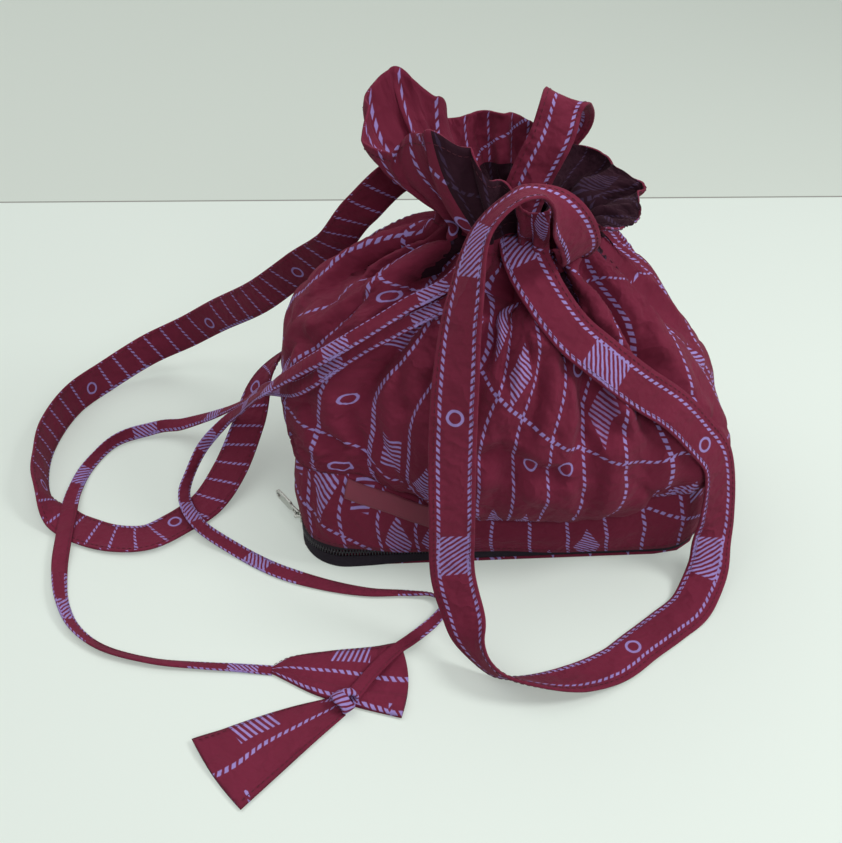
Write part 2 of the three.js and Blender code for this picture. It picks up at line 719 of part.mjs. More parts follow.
function sliderBody() {
  const lipFrom = tapeThickness / 2 + fit;
  const lipInside = sliderHalfHeight - sliderLip;
  const web = coilGap / 2 - fit;
  const quarter = [
    [sliderFace, 0],
    [sliderFace, sliderHalfHeight],
    [lipFrom, sliderHalfHeight],
    [lipFrom, lipInside],
    [slot, lipInside],
    [slot, web],
  ];
  const upperInner = quarter.slice(1).reverse().map(([x, z]) => [-x, z]);
  const lowerInner = quarter.slice(1).map(([x, z]) => [-x, -z]);
  const lowerOuter = quarter.slice(1).reverse().map(([x, z]) => [x, -z]);
  const outline = [...quarter, ...upperInner, ...lowerInner, ...lowerOuter];
  const section = new THREE.Shape(outline.map(([x, z]) => new THREE.Vector2(x, z)));
  const plates = new THREE.ExtrudeGeometry(section, { depth: sliderLength, bevelEnabled: false });
  plates.rotateX(Math.PI / 2).translate(0, sliderLength / 2, 0);

  const foot = sliderFace - sliderPlate / 2;
  const crown = sliderFace + bridgeRise;
  const half = bridgeLength / 2;
  const round = bridgeBar;
  const arch = new THREE.Shape();
  arch.moveTo(foot, -half);
  arch.lineTo(crown - round, -half);
  arch.absarc(crown - round, round - half, round, -Math.PI / 2, 0, false);
  arch.lineTo(crown, half - round);
  arch.absarc(crown - round, half - round, round, 0, Math.PI / 2, false);
  arch.lineTo(foot, half);
  arch.lineTo(foot, half - bridgeBar);
  arch.lineTo(crown - bridgeBar, half - bridgeBar);
  arch.lineTo(crown - bridgeBar, bridgeBar - half);
  arch.lineTo(foot, bridgeBar - half);
  const settings = { depth: bridgeWidth, bevelEnabled: false, curveSegments: 4 };
  const bridge = new THREE.ExtrudeGeometry(arch, settings);
  return joined(plates, bridge.translate(0, 0, -bridgeWidth / 2));
}

// Flat tab with a slot that hooks round the bridge and an oval window near its tip.
function pullTab() {
  const neckHalf = bridgeWidth / 2 + fit + pullArm;
  const half = pullWidth / 2;
  const crownReach = sliderFace + bridgeRise - pullAxisOut;
  const slotEnd = Math.hypot(crownReach, bridgeLength / 2) + pullThickness / 2 + fit;
  const outline = new THREE.Shape();
  outline.moveTo(-pullPin, -neckHalf);
  outline.lineTo(slotEnd, -neckHalf);
  outline.quadraticCurveTo(slotEnd + half, -neckHalf, slotEnd + half, -half);
  outline.lineTo(pullLength - half, -half);
  outline.absarc(pullLength - half, 0, half, -Math.PI / 2, Math.PI / 2, false);
  outline.lineTo(slotEnd + half, half);
  outline.quadraticCurveTo(slotEnd + half, neckHalf, slotEnd, neckHalf);
  outline.lineTo(-pullPin, neckHalf);
  const gate = neckHalf - pullArm;
  const slotHole = new THREE.Path([[pullPin, -gate], [slotEnd, -gate], [slotEnd, gate], [pullPin, gate]]
    .map(([x, z]) => new THREE.Vector2(x, z)));
  const window = new THREE.Path();
  window.absellipse(pullLength - half, 0, windowLength / 2, windowWidth / 2, 0, fullTurn, false);
  outline.holes.push(slotHole, window);
  const settings = { depth: pullThickness, bevelEnabled: false, curveSegments: 8 };
  const tab = new THREE.ExtrudeGeometry(outline, settings);
  return tab.rotateX(Math.PI / 2).translate(0, pullThickness / 2, 0);
}

function sliderAndPull() {
  const slider = addPiece('zip_slider', sliderBody(), silver);
  slider.position.set(left + zipInset, sliderPlace, chainMiddle);
  slider.rotation.z = Math.PI;
  const pull = addPiece('zip_pull', pullTab(), silver);
  pull.position.set(left + zipInset - pullAxisOut, sliderPlace, chainMiddle);
  pull.rotation.z = Math.PI - radians(pullTurn);
}

addPiece('base_panel', plate(() => 0, 0, panelThickness), cloth);
zipPieces();
sliderAndPull();
addPiece('rear_gusset', rearGusset(), cloth);
addPiece('lower_band', lowerBand(), cloth);
addPiece('inner_floor', plate(floorInset, pocketHeight, floorThickness), lining);
addPiece('label', label(), woven);
addPiece('bag_body', bagBody(), cloth);
addPiece('front_strap', frontStrap(), cloth);
addPiece('rear_strap', rearStrap(), cloth);
drawstring();

export default bag;
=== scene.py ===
"""A gathered drawstring tote bag of printed cotton on a zipped base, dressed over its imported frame."""

import math

import bpy
import numpy as np
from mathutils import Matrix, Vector
from mathutils.bvhtree import BVHTree


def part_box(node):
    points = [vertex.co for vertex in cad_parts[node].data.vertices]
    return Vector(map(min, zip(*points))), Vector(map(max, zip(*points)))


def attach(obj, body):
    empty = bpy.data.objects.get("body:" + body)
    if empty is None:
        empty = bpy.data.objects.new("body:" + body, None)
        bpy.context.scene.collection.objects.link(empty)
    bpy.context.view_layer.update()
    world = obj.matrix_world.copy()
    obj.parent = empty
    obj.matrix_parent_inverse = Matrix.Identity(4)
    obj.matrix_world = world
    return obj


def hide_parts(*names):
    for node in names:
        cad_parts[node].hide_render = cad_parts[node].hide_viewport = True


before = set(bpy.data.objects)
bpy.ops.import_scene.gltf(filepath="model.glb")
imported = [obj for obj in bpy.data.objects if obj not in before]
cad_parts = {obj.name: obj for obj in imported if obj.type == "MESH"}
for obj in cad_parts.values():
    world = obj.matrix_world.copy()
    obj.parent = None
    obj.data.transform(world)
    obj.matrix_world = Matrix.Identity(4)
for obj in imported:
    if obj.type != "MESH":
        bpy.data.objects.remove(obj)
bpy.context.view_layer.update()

MM = 0.001
TURN = 2 * math.pi
UP = np.array([0.0, 0.0, 1.0])

# Camera: place in metres, degrees round and down, and the focal length in pixels of the picture
CAMERA_PLACE = (-0.0877, -0.6012, 0.5397)
CAMERA_TURN = -3
CAMERA_TILT = 38
FOCAL_PIXELS = 1050
PICTURE_HEIGHT = 843
SENSOR = 36

# Base, zip and band, in millimetres as in the part's source
HALF_WIDTH = 145
HALF_DEPTH = 75
BASE_CORNER = 34
FIT = 0.3
ZIP_END = 22
ZIP_MIDDLE = 12.6
TAPE_THICKNESS = 1.0
LOWER_TAPE = (2.7, 9.3)
UPPER_TAPE = (15.9, 22.5)
BAND_BOTTOM = 22.8
BAND_BULGE = 3
BAND_THICKNESS = 2.2
ZIP_STANDOFF = 1.2
ZIP_INSET = 1.2
STOP_LENGTH = 3
LABEL_INSET = 38
LABEL_LENGTH = 77
LABEL_HEIGHT = 15
LABEL_DROP = 3
LABEL_THICKNESS = 0.8
# Way of a row of stitches from the cloth's edge
STITCH_INSET = 3
# Teeth of the zip: their pitch, their size along the zip, in from its face and up, and their way off its middle
TOOTH_PITCH = 2.1
TOOTH_SIZE = (1.25, 2.3, 3.3)
TOOTH_RISE = 1.35
TOOTH_HEAD = 0.35
TOOTH_BEVEL = 0.16
# Front left corner where the zip's tapes come loose: degrees and spread, drop, and way out at each tape's two edges
LOOSE_AT = (214, 13)
LOOSE_DROP = 2.2
LOOSE_OUT = (0.6, 2)
# Creases across the band: depth, then degrees and spread
BAND_CREASES = [(2.6, (207, 2)), (-1.2, (211, 2))]
GUSSET_INSET = 1.4
GUSSET_BULGE = 0.9
# Angles that count as flat, as an edge to bevel, and as a bend to shade smooth
SAME_PLANE = math.radians(2)
SHARP_EDGE = math.radians(30)
SMOOTH_BEND = math.radians(40)

# Seam between band and body: degrees, height, overhang of the body
SEAM = [(0, 57, 1), (90, 58, 1), (180, 70, 1), (215, 86, 0.15), (226, 68, 0.35), (239, 52, 0.7),
        (257, 40, 1), (295, 36, 1), (312, 39, 1), (322, 56, 0.8), (336, 62, 0.9)]
# Where the band hangs in front of the zip: degrees, how far it sags, share of its standoff there
SAG = [(0, 4, 1), (14, 0, 1), (22, 0, 0), (199, 0, 0), (209, 0, 1), (228, 8, 1), (262, 10, 1), (300, 14, 1),
       (322, 14, 1), (340, 8, 1)]

# Body, gathers and frill
NECK_HEIGHT = 226
NECK_HALF = (48, 38)
NECK_SHIFT = 9
CASING_HEIGHT = 10
CASING_SHARE = 0.16
BULGE = {"left": 8, "right": 10, "front": 26, "back": 18}
WIDEST = {"left": 0.3, "right": 0.13, "front": 0.33, "back": 0.3}
FULLNESS = {"left": 3, "right": 1.6, "front": 2.2, "back": 2.5}
PLEAT_DEPTH = 0.15
RIM_PLEAT_DEPTH = 0.03
# Rim of the frill: degrees, flare, rise
RIM = [(0, 27, 12), (20, 24, 17), (55, 24, 22), (100, 18, 44), (126, 30, 38), (143, 22, 60), (158, 40, 82),
       (173, 50, 69), (186, 55, 54), (196, 42, 51), (206, 34, 67), (216, 32, 74), (228, 23, 62), (242, 15, 42),
       (265, 8, 22), (295, 12, 27), (318, 20, 7), (334, 23, 3)]
CLOTH = 1.5
BODY_COLUMNS = 400
BODY_ROWS = 76
FRILL_ROWS = 26
CREASES = 29
# Folds thrown by the gathers: their way from the fading end, as degrees and rise, then depth, width and lean
FOLDS = [
    ([(181, 0.7), (179, 0.86), (177, 0.97)], 14, 6, 0.9),
    ([(187, 0.8), (188, 0.9), (188, 1)], 16, 5, 0.6),
    ([(203, 0.8), (209, 0.92), (207, 1)], 15, 5, -0.6),
    ([(212, 0.2), (217, 0.5), (219, 0.72), (224, 0.9)], 13, 5, -1.2),
    ([(194, 0.4), (198, 0.62), (199, 0.8)], 8, 7, 0.8),
    ([(229, 0.36), (232, 0.64), (235, 0.88)], 9, 5, 0.8),
    ([(230, 0.9), (248, 0.905), (270, 0.9)], 13, 7, 0.4),
    ([(242, 0.36), (262, 0.42), (282, 0.36)], 6, 6, 0.9),
    ([(272, 0.44), (275, 0.6), (276, 0.76)], 6, 4, -0.9),
    ([(288, 0.36), (293, 0.53), (295, 0.72)], 15, 6, 1.3),
    ([(312, 0.42), (303, 0.53), (300, 0.64)], 9, 6, -0.6),
    ([(304, 0.72), (297, 0.83), (291, 0.92)], 13, 7, 0),
    ([(321, 0.32), (314, 0.58), (304, 0.8)], 12, 5, -1),
    ([(328, 0.26), (322, 0.58), (317, 0.8), (309, 0.95)], 16, 5, 0.9),
    ([(341, 0.5), (337, 0.84), (332, 0.98)], 10, 5, 0.8),
    ([(353, 0.42), (349, 0.78), (347, 0.98)], 11, 5, -0.8),
    ([(294, 0.1), (298, 0.26), (298, 0.38)], 7, 6, -0.8),
    ([(254, 0.44), (252, 0.6), (250, 0.8)], 7, 4, 0.9),
    ([(262, 0.6), (262, 0.74), (260, 0.9)], 9, 4, -0.8),
    ([(184, 0.3), (188, 0.45), (192, 0.6)], 7, 6, 0.7),
]
# Folds of the frill: degrees at the casing and at the rim, depth (below 0 for a ridge), width
FRILL_FOLDS = [(150, 152, 7, 6), (163, 164, -5, 7), (178, 176, 7, 7), (193, 190, -5, 7), (199, 201, 8, 5),
               (224, 213, -6, 6), (236, 229, 10, 6), (250, 247, 5, 5), (283, 285, 6, 5), (303, 308, 6, 5),
               (330, 333, 5, 6), (352, 357, 3, 9), (18, 22, 4, 10), (60, 58, 7, 8), (102, 100, 8, 7),
               (128, 126, -5, 7)]
# Where the rim turns back and shows its reverse, whose near-black tone is painted shade, in degrees, and how far the
# cloth's threads lean there
TURNED_EDGE = (229, 256)
TURNED_ABOVE = 6
TURNED_LEAN = 12
# Where the frill's inside is faced with the print, in degrees and above the casing; the rest of its inside keeps the
# near-black reverse, painted shade
FACING_EDGE = (57, 207)
FACING_ABOVE = 22
# The body's flat cut: its width, and its lengths up the body and the frill
CUT_WIDTH = 790
BODY_CUT = 230
FRILL_CUT = 70
# Most that the cloth stands out of its plain shape, and its settling: frames, most way moved, settings
STANDS_OUT = 3.5
SETTLE_FRAMES = 9
SETTLE_MOST = 2.5
DRAPE = {
    "quality": 8, "mass": 0.15, "tension_stiffness": 30, "compression_stiffness": 20, "shear_stiffness": 8,
    "bending_stiffness": 0.05, "air_damping": 2, "shrink_min": -0.08, "use_pressure": True,
    "uniform_pressure_force": 0.3,
}
# Where straps and strands press the cloth in: up to which height, from how far inside, and how deep at most
PRESS_BELOW = NECK_HEIGHT - 13
PRESS_REACH = 22
PRESS_MOST = 16

# Straps
STRAP_WIDTH = 28
STRAP_THICKNESS = 2.2
STRAP_FOLD = 2
STRAP_STEP = 3
# Way along the rear strap where its printed ropes turn
ROPES_TURN = 955
# Steps that carry both ends of each strap on into the gathers
FRONT_TUCK = ((-7, 16, -6), (-2, 20, 7))
REAR_TUCK = ((11, -11, -4), (0, -1, -8))
# Stations along each strap: a place, then the direction that its outer face looks in
FRONT_STRAP = [
    (37.4, -47.3, 229.8, 0.39, -0.92, 0), (28, -62, 256, 0.25, -0.9, 0.35), (1, -72, 283, 0, 0.2, 0.98),
    (-26, -82, 267, -0.88, -0.1, 0.46), (-38, -104, 232, -0.73, -0.61, 0.3), (-43, -122, 194, -0.4, -0.9, 0.2),
    (-45, -134, 150, -0.1, -0.98, 0.15), (-45, -142, 105, 0, -1, 0.1), (-44, -147, 62, 0, -1, 0.1),
    (-38, -156, 37, -0.16, -0.98, 0.1), (-32, -172, 22, -0.3, -0.9, -0.3),
    (-19, -185, 12.9, -0.3, -0.81, -0.51), (6, -190, 9.6, -0.1, -0.6, -0.8), (32, -186, 4.9, 0, -0.25, -0.97),
    (59, -174, 2.1, 0, -0.05, -1), (79, -159, 2.1, 0, -0.05, -1), (101, -143, 2.2, 0.02, 0.05, -1),
    (119, -129, 2.8, 0.03, 0.1, -0.99), (131, -113, 8, 0.1, 0.4, -0.91), (137, -103, 16, 0.05, 0.65, -0.75),
    (139, -95, 28, -0.05, 0.86, -0.51), (141, -89, 48, -0.3, 0.93, -0.2),
    (134.9, -82.5, 93.6, -0.56, 0.79, -0.27), (120.2, -82.2, 114.5, -0.46, 0.79, -0.4),
    (100.8, -81.6, 135.8, -0.42, 0.78, -0.46), (78, -81.9, 153.3, -0.3, 0.82, -0.49),
    (52, -80.2, 175, -0.25, 0.81, -0.53), (30.4, -75.8, 194.1, -0.18, 0.78, -0.6),
    (14.2, -63, 213.4, -0.06, 0.73, -0.68), (5, -47.2, 227.3, 0.05, 0.98, -0.2),
]
REAR_STRAP = [
    (-29.2, 37.9, 232.5, -0.57, 0.54, -0.63), (-61, 53, 240, -0.32, 0.95, 0),
    (-95, 61, 208, -0.36, 0.88, -0.31), (-118, 77, 172, -0.36, 0.81, -0.46),
    (-145, 99, 142, -0.36, 0.81, -0.46), (-180, 125, 103, -0.3, 0.81, -0.51),
    (-218, 155, 68, -0.3, 0.81, -0.51), (-250, 173, 41, -0.3, 0.86, -0.41), (-285, 173, 24, -0.45, 0.84, -0.3),
    (-318, 151, 14.1, -0.66, 0.71, -0.25), (-341, 117, 14.1, -0.86, 0.45, -0.25),
    (-351, 72, 14.1, -0.96, 0.1, -0.25), (-349, 36, 14.2, -0.96, -0.2, -0.2),
    (-341, 4, 13.8, -0.8, -0.5, -0.35), (-323, -19, 3.9, -0.1, -0.15, -0.98), (-303, -32, 2.1, 0, -0.05, -1),
    (-280, -41, 2.1, 0, -0.05, -1), (-258, -41, 2.1, 0, -0.05, -1), (-238, -27, 2.1, 0, -0.05, -1),
    (-218, -7, 3.6, 0.05, 0.15, -0.99), (-202, 20, 14, 0.1, 0.36, -0.93), (-189, 53, 32, 0.26, 0.41, -0.87),
    (-177, 80, 56, 0.55, 0.11, -0.83), (-132, 86.1, 99.9, 0.54, -0.82, -0.17),
    (-93.7, 91.5, 127.4, 0.14, -0.97, -0.18), (-58.2, 86.7, 155.2, 0.15, -0.94, -0.32),
    (-27.5, 81.9, 181.3, 0.09, -0.86, -0.5), (-1.8, 70.8, 204.9, 0.03, -0.76, -0.65),
    (15.9, 54.6, 226.1, -0.06, -0.67, -0.74), (29, 70, 239, -0.1, -0.95, -0.29),
    (48, 70, 264, -0.19, -0.96, -0.19), (42, 47, 285, -0.15, -0.75, -0.65), (34, 30, 296, -0.4, 0, -0.92),
    (27, 19, 278, 0.1, 0.95, -0.3), (15, 15, 252, 0.1, 0.99, -0.1), (6, 13, 222, 0.1, 1, 0),
]

# Drawstring
STRAND_SIZE = 8
STRAND_WIDTH = 11
STRAND_THICKNESS = 1.9
STRAND_STEP = 2.5
# Routes of the two strands
LEFT_STRAND = [
    (-24.9, -57.2, 216.5), (-39, -60.3, 208.8), (-52.7, -61.5, 201.6), (-66.2, -61.9, 194.6),
    (-78.2, -62.1, 187.5), (-90.5, -62, 180.4), (-112, -61.3, 165.2), (-128, -58.7, 151),
    (-138.9, -52.3, 140.5), (-149, -37, 129), (-163, -4, 106), (-176, 23, 82), (-192, 44, 58), (-216, 64, 35),
    (-241, 78, 18), (-273, 82, 7), (-300, 70, 4.3), (-316, 42, 4.3), (-321, 12, 6), (-319, -20, 9),
    (-317, -44, 9), (-314, -72, 5.5), (-306, -102, 4.3), (-293, -125, 4.3), (-272, -143, 4.3),
    (-239, -155, 4.3), (-206, -160, 4.3), (-180, -163, 4.3), (-159.8, -166, 4.3),
]
RIGHT_STRAND = [
    (-23.1, -43.4, 227.3), (-34.1, -50, 222.9), (-44.1, -56.2, 216.7), (-53.7, -58.4, 212.1),
    (-66.1, -59.6, 206.4), (-87.3, -62, 193.1), (-109.2, -61.7, 178.5), (-124.9, -58.6, 166.8),
    (-136.9, -53.5, 156.1), (-151, -45, 141), (-163, -33, 124), (-175, -8, 99), (-188, 18, 71), (-203, 34, 50),
    (-223, 33, 28), (-232, 17, 17), (-235, 0, 12), (-231, -17, 12), (-219, -36, 9), (-190, -58, 4.3),
    (-160, -79, 4.3), (-131, -92, 4.3), (-97, -102, 4.3), (-70, -105, 4.3), (-53, -109, 4.3), (-46, -118, 4.3),
    (-53, -130, 4.3), (-66, -144, 6.5), (-81, -157, 8), (-96, -174, 8.5), (-108.7, -191.5, 8.2),
]
# Roll in degrees and width in millimetres of each strand, at shares of its way
LEFT_ROLL = [(0, 0), (0.25, 0), (0.34, 30), (0.42, 0), (0.52, 20), (0.57, 62), (0.63, 10), (0.7, 0), (0.78, 40),
             (0.9, 30), (1, 0)]
LEFT_WIDTHS = [(0, 9), (0.15, 11), (0.3, 10), (0.42, 12.5), (0.52, 11), (0.57, 9), (0.66, 12.5), (0.76, 11),
               (0.84, 8), (0.94, 7.5), (1, 7.5)]
RIGHT_ROLL = [(0, 0), (0.25, 0), (0.34, -25), (0.42, 40), (0.5, 55), (0.57, 10), (0.68, 0), (0.78, 25), (0.82, 60),
              (0.88, 30), (0.93, 0), (1, 0)]
RIGHT_WIDTHS = [(0, 9), (0.15, 11), (0.3, 10), (0.42, 9), (0.5, 9), (0.6, 12), (0.7, 12.5), (0.77, 10), (0.82, 7),
                (0.88, 7.5), (0.95, 9), (1, 10)]
# Long edges of the strands' wide ends, as they lie on the floor
UPPER_TAIL = [
    ((-160, -163), (-160, -169)), ((-149, -156), (-151, -175)), ((-123, -152), (-132, -187)),
    ((-100, -150.5), (-108, -197)), ((-78, -148.5), (-79, -207)),
]
LOWER_TAIL = [
    ((-121, -189), (-113, -203)), ((-147, -195), (-131, -221)), ((-177, -205), (-151, -242)),
    ((-205, -216.5), (-172, -264)),
]
# A tail's half thickness before it is puffed, and the heights of its middle and upper face
TAIL_HALF = 0.25
TAIL_MIDDLE = 1.5
TAIL_TOP = 2.75
KNOT_PLACE = (-115, -196, 5.6)
KNOT_THICKNESS = 2.4
# Turns of the knot: axle, shift, half width, half height, the strip's width, lean
KNOT_TURNS = [((-0.8, -0.6, 0), (0, 0, 0), 8, 5, 9.5, 1), ((0.5, -0.86, 0.1), (3.5, 3, 0.4), 5.6, 4.4, 7.5, -1.5)]


def deselect():
    bpy.ops.object.select_all(action="DESELECT")


def set_camera():
    data = bpy.data.cameras.new("camera")
    data.sensor_width = SENSOR
    data.lens = FOCAL_PIXELS / PICTURE_HEIGHT * SENSOR
    camera = bpy.data.objects.new("camera", data)
    bpy.context.scene.collection.objects.link(camera)
    camera.location = CAMERA_PLACE
    camera.rotation_euler = (math.pi / 2 - math.radians(CAMERA_TILT), 0, math.radians(CAMERA_TURN))
    bpy.context.scene.camera = camera


# Materials

def tint(red, green, blue):
    """A colour as it is seen on a screen, 0 to 255, as the shader's own numbers."""
    def linear(c):
        return c / 12.92 if c <= 0.04045 else ((c + 0.055) / 1.055) ** 2.4
    return (linear(red / 255), linear(green / 255), linear(blue / 255), 1)


class Value:
    """A number that changes over a surface. Sums of values add their own maths nodes."""

    def __init__(self, finish, socket):
        self.finish = finish
        self.socket = socket

    def maths(self, operation, *others, clamp=False):
        settings = {"operation": operation, "use_clamp": clamp}
        return self.finish.node("ShaderNodeMath", settings, dict(enumerate((self, *others))))

    def __add__(self, other):
        return self.maths("ADD", other)

    __radd__ = __add__

    def __mul__(self, other):
        return self.maths("MULTIPLY", other)

    __rmul__ = __mul__

    def __sub__(self, other):
        return self.maths("SUBTRACT", other)

    def __rsub__(self, first):
        return self.finish.node("ShaderNodeMath", {"operation": "SUBTRACT"}, {0: first, 1: self})

    def __truediv__(self, other):
        return self.maths("DIVIDE", other)

    def __abs__(self):
        return self.maths("ABSOLUTE")

    def __mod__(self, other):
        return self.maths("FLOORED_MODULO", other)

    def floor(self):
        return self.maths("FLOOR")

    def sine(self):
        return self.maths("SINE")

    def root(self):
        return self.maths("SQRT")

    def larger(self, other):
        return self.maths("MAXIMUM", other)

    def below(self, edge, softness):
        """1 where the value is below an edge and 0 above it, with a soft change between."""
        return ((edge - self) / softness).maths("ADD", 0.5, clamp=True)

    def above(self, edge, softness):
        return ((self - edge) / softness).maths("ADD", 0.5, clamp=True)

    def within(self, half, softness):
        """1 where the value is nearer to 0 than a half width, on both sides."""
        return abs(self).below(half, softness)


class Finish:
    """The nodes of a material or of the world, with the shader that they feed and its settings."""

    def __init__(self, owner, settings, shader="Principled BSDF"):
        self.owner = owner
        owner.use_nodes = True
        self.tree = owner.node_tree
        self.shader = self.tree.nodes[shader]
        for socket, value in settings.items():
            self.feed(socket, value)

    def node(self, kind, settings, sockets, output=0):
        made = self.tree.nodes.new(kind)
        for name, value in settings.items():
            setattr(made, name, value)
        for name, value in sockets.items():
            self.put(made.inputs[name], value)
        return Value(self, made.outputs[output])

    def put(self, socket, value):
        if isinstance(value, Value):
            self.tree.links.new(value.socket, socket)
        else:
            socket.default_value = value

    def feed(self, socket, value):
        self.put(self.shader.inputs[socket], value)

    def blend(self, share, first, second):
        return self.node("ShaderNodeMix", {"data_type": "RGBA"}, {0: share, 6: first, 7: second}, 2)

    def object_spot(self):
        return self.node("ShaderNodeTexCoord", {}, {}, 3)

    def level_parts(self, spot):
        """A place's first two parts."""
        first = self.node("ShaderNodeSeparateXYZ", {}, {0: spot})
        return first, Value(self, first.socket.node.outputs[1])

    def cut_spot(self):
        """Place on the flat cut of the cloth, in millimetres across and along."""
        spot = self.node("ShaderNodeUVMap", {"uv_map": "cut"}, {})
        across, along = self.level_parts(spot)
        return spot, across / MM, along / MM

    def noise(self, spot, size, detail=2):
        """Cloudy change from 0 to 1 with patches of a size in millimetres."""
        return self.node("ShaderNodeTexNoise", {}, {"Vector": spot, "Scale": 1 / (size * MM), "Detail": detail})

    def chance(self, cell):
        """The same throw of dice, 0 to 1, all over a cell."""
        return self.node("ShaderNodeTexWhiteNoise", {"noise_dimensions": "1D"}, {"W": cell})

    def relief(self, height, depth):
        bump = self.node("ShaderNodeBump", {}, {"Strength": 1, "Distance": depth * MM, "Height": height})
        self.feed("Normal", bump)

    def looked_at(self):
        """1 for what is seen straight on, in a mirror or through glass, and 0 for light on its way."""
        path = self.node("ShaderNodeLightPath", {}, {}).socket.node.outputs
        rays = ("Is Camera Ray", "Is Glossy Ray", "Is Transmission Ray")
        return sum(Value(self, path[ray]) for ray in rays).maths("MINIMUM", 1)


def new_finish(name, settings):
    return Finish(bpy.data.materials.new(name), settings)


BLACK = (0, 0, 0, 1)
GROUND = tint(130, 40, 68)
GROUND_DEEP = tint(99, 26, 47)
PRINT = tint(166, 147, 214)
# Reverse of the cotton: a near-black tone that is painted shade, the dark of the bag's inside, with a deeper tone
# here and there at random
REVERSE_PAINTED_SHADE = tint(42, 5, 25)
REVERSE_PAINTED_SHADE_DEEP = tint(30, 2, 18)
# Softness of the print's edges in millimetres, and of a pick by chance
INK_EDGE = 0.35
FINE_EDGE = 0.3
RUN_EDGE = 0.5
PICK = 0.01
# Way from one thread of the cotton to the next but one
WEAVE = 0.62


# The prints' figures are in millimetres on the flat cut

def centred(value, pitch):
    """Distance from the nearest of a row of lines a pitch apart, with its sign."""
    return ((value / pitch + 0.5) % 1 - 0.5) * pitch


def cell_place(cotton, along, length, seed):
    """Way from the middle of the cell that a place is in, and that cell's throw of dice."""
    return centred(along - length / 2, length), cotton.chance((along / length).floor() * seed)


def rope(across, along, width, pitch, slant=0.9):
    """A line of slanted dashes, like a laid rope."""
    dash = centred(along + across * slant, pitch)
    return across.within(width / 2, INK_EDGE) * dash.within(pitch * 0.3, INK_EDGE)


def bars(along, pitch, half_width, softness=INK_EDGE):
    return centred(along, pitch).within(half_width, softness)


def ring(across, along, radius, half_width):
    return ((across * across + along * along).root() - radius).within(half_width, FINE_EDGE)


def strap_face(across):
    """Way from the middle of a strap's face, on either side of its folded edges."""
    return centred(across - STRAP_WIDTH / 2, STRAP_WIDTH + STRAP_FOLD)


def bag_print(cotton, across, along):
    """Swaying ropes up the cloth, and between them a few hatched lozenges, rings and ladders."""
    lane, cell = 27, 62
    sway = (along * (TURN / 210)).sine() * 6 + (along * (TURN / 89) + 1.3).sine() * 2.4
    swayed = across + sway
    ropes = rope(centred(swayed, lane), along, 2.3, 4.6)
    crossing = rope(centred(along + across * 0.42 + sway, 118), across, 2.2, 4.4, -0.9)
    lane_number = (swayed / lane).floor()
    aside = centred(swayed - lane / 2, lane)
    shifted = along + cotton.chance(lane_number * 3.1) * (cell - 1)
    place = centred(shifted - cell / 2, cell)
    kind = cotton.chance(lane_number * 7.7 + (shifted / cell).floor() * 1.9)
    lozenge = (abs(aside) / 9.5 + abs(place) / 21).below(1, 0.05)
    hatched = lozenge * bars(place + aside * 0.7, 3.4, 0.85) * kind.below(0.24, PICK)
    ringed = ring(aside, place, 4.6, 0.75) * (kind - 0.34).within(0.07, PICK)
    ladder = bars(place - aside * 0.25, 3.6, 0.8) * aside.within(6.5, 0.4) * place.within(13, RUN_EDGE)
    laddered = ladder * kind.above(0.87, PICK)
    return ropes.larger(crossing).larger(hatched).larger(ringed).larger(laddered)


def long_strap_print(cotton, across, along):
    """Ropes beside both edges of each face, with a run of cross bars or a ring here and there."""
    face = strap_face(across)
    place, kind = cell_place(cotton, along, 96, 2.3)
    edges = rope(abs(face) - 9.3, along, 2.1, 4.5)
    run = bars(place + face * 0.8, 3.9, 0.95) * place.within(15, RUN_EDGE) * face.within(10.5, 0.4)
    barred = run * kind.below(0.55, PICK)
    return edges.larger(barred).larger(ring(face, place, 4.4, 0.85) * kind.above(0.66, PICK))


def cross_strap_print(cotton, across, along):
    """Ropes across the strap, then two along it where it nears the mouth, and a ring here and there."""
    cell = 132
    face = strap_face(across)
    place = centred(along - cell / 2, cell)
    rows = rope(centred(along + face * 0.18, 16.5), face, 1.9, 3.9)
    edge = rope(face - 10.4, along, 2.1, 4.5) * (place + 30).within(26, RUN_EDGE)
    clear = place.within(9, RUN_EDGE)
    crossed = (rows * (1 - clear)).larger(edge).larger(ring(face, place, 4.4, 0.8))
    lengthwise = rope(abs(face) - 7.5, along, 2.1, 4.5)
    turned = along.above(ROPES_TURN, 1)
    return crossed * (1 - turned) + lengthwise * turned


def tie_print(cotton, across, along):
    """Close bars, all that shows of the print where the strand is wrapped small."""
    return bars(along + across * 0.3, 2.9, 0.8, FINE_EDGE)


def strand_print(cotton, across, along):
    """What a narrow strip keeps of the print: a rope along one edge, hatching, and a few bars."""
    face = centred(across - STRAND_WIDTH / 2, STRAND_WIDTH + STRAND_THICKNESS)
    place, kind = cell_place(cotton, along, 71, 4.7)
    edge = rope(face - 2.6, along, 1.9, 4) * kind.below(0.62, PICK)
    hatching = bars(along + face * 0.9, 3.4, 0.9, FINE_EDGE) * place.within(10, RUN_EDGE)
    few = bars(along, 17, 0.9, FINE_EDGE) * place.within(26, RUN_EDGE)
    return edge.larger(hatching * (kind - 0.4).within(0.2, PICK)).larger(few * kind.above(0.8, PICK))


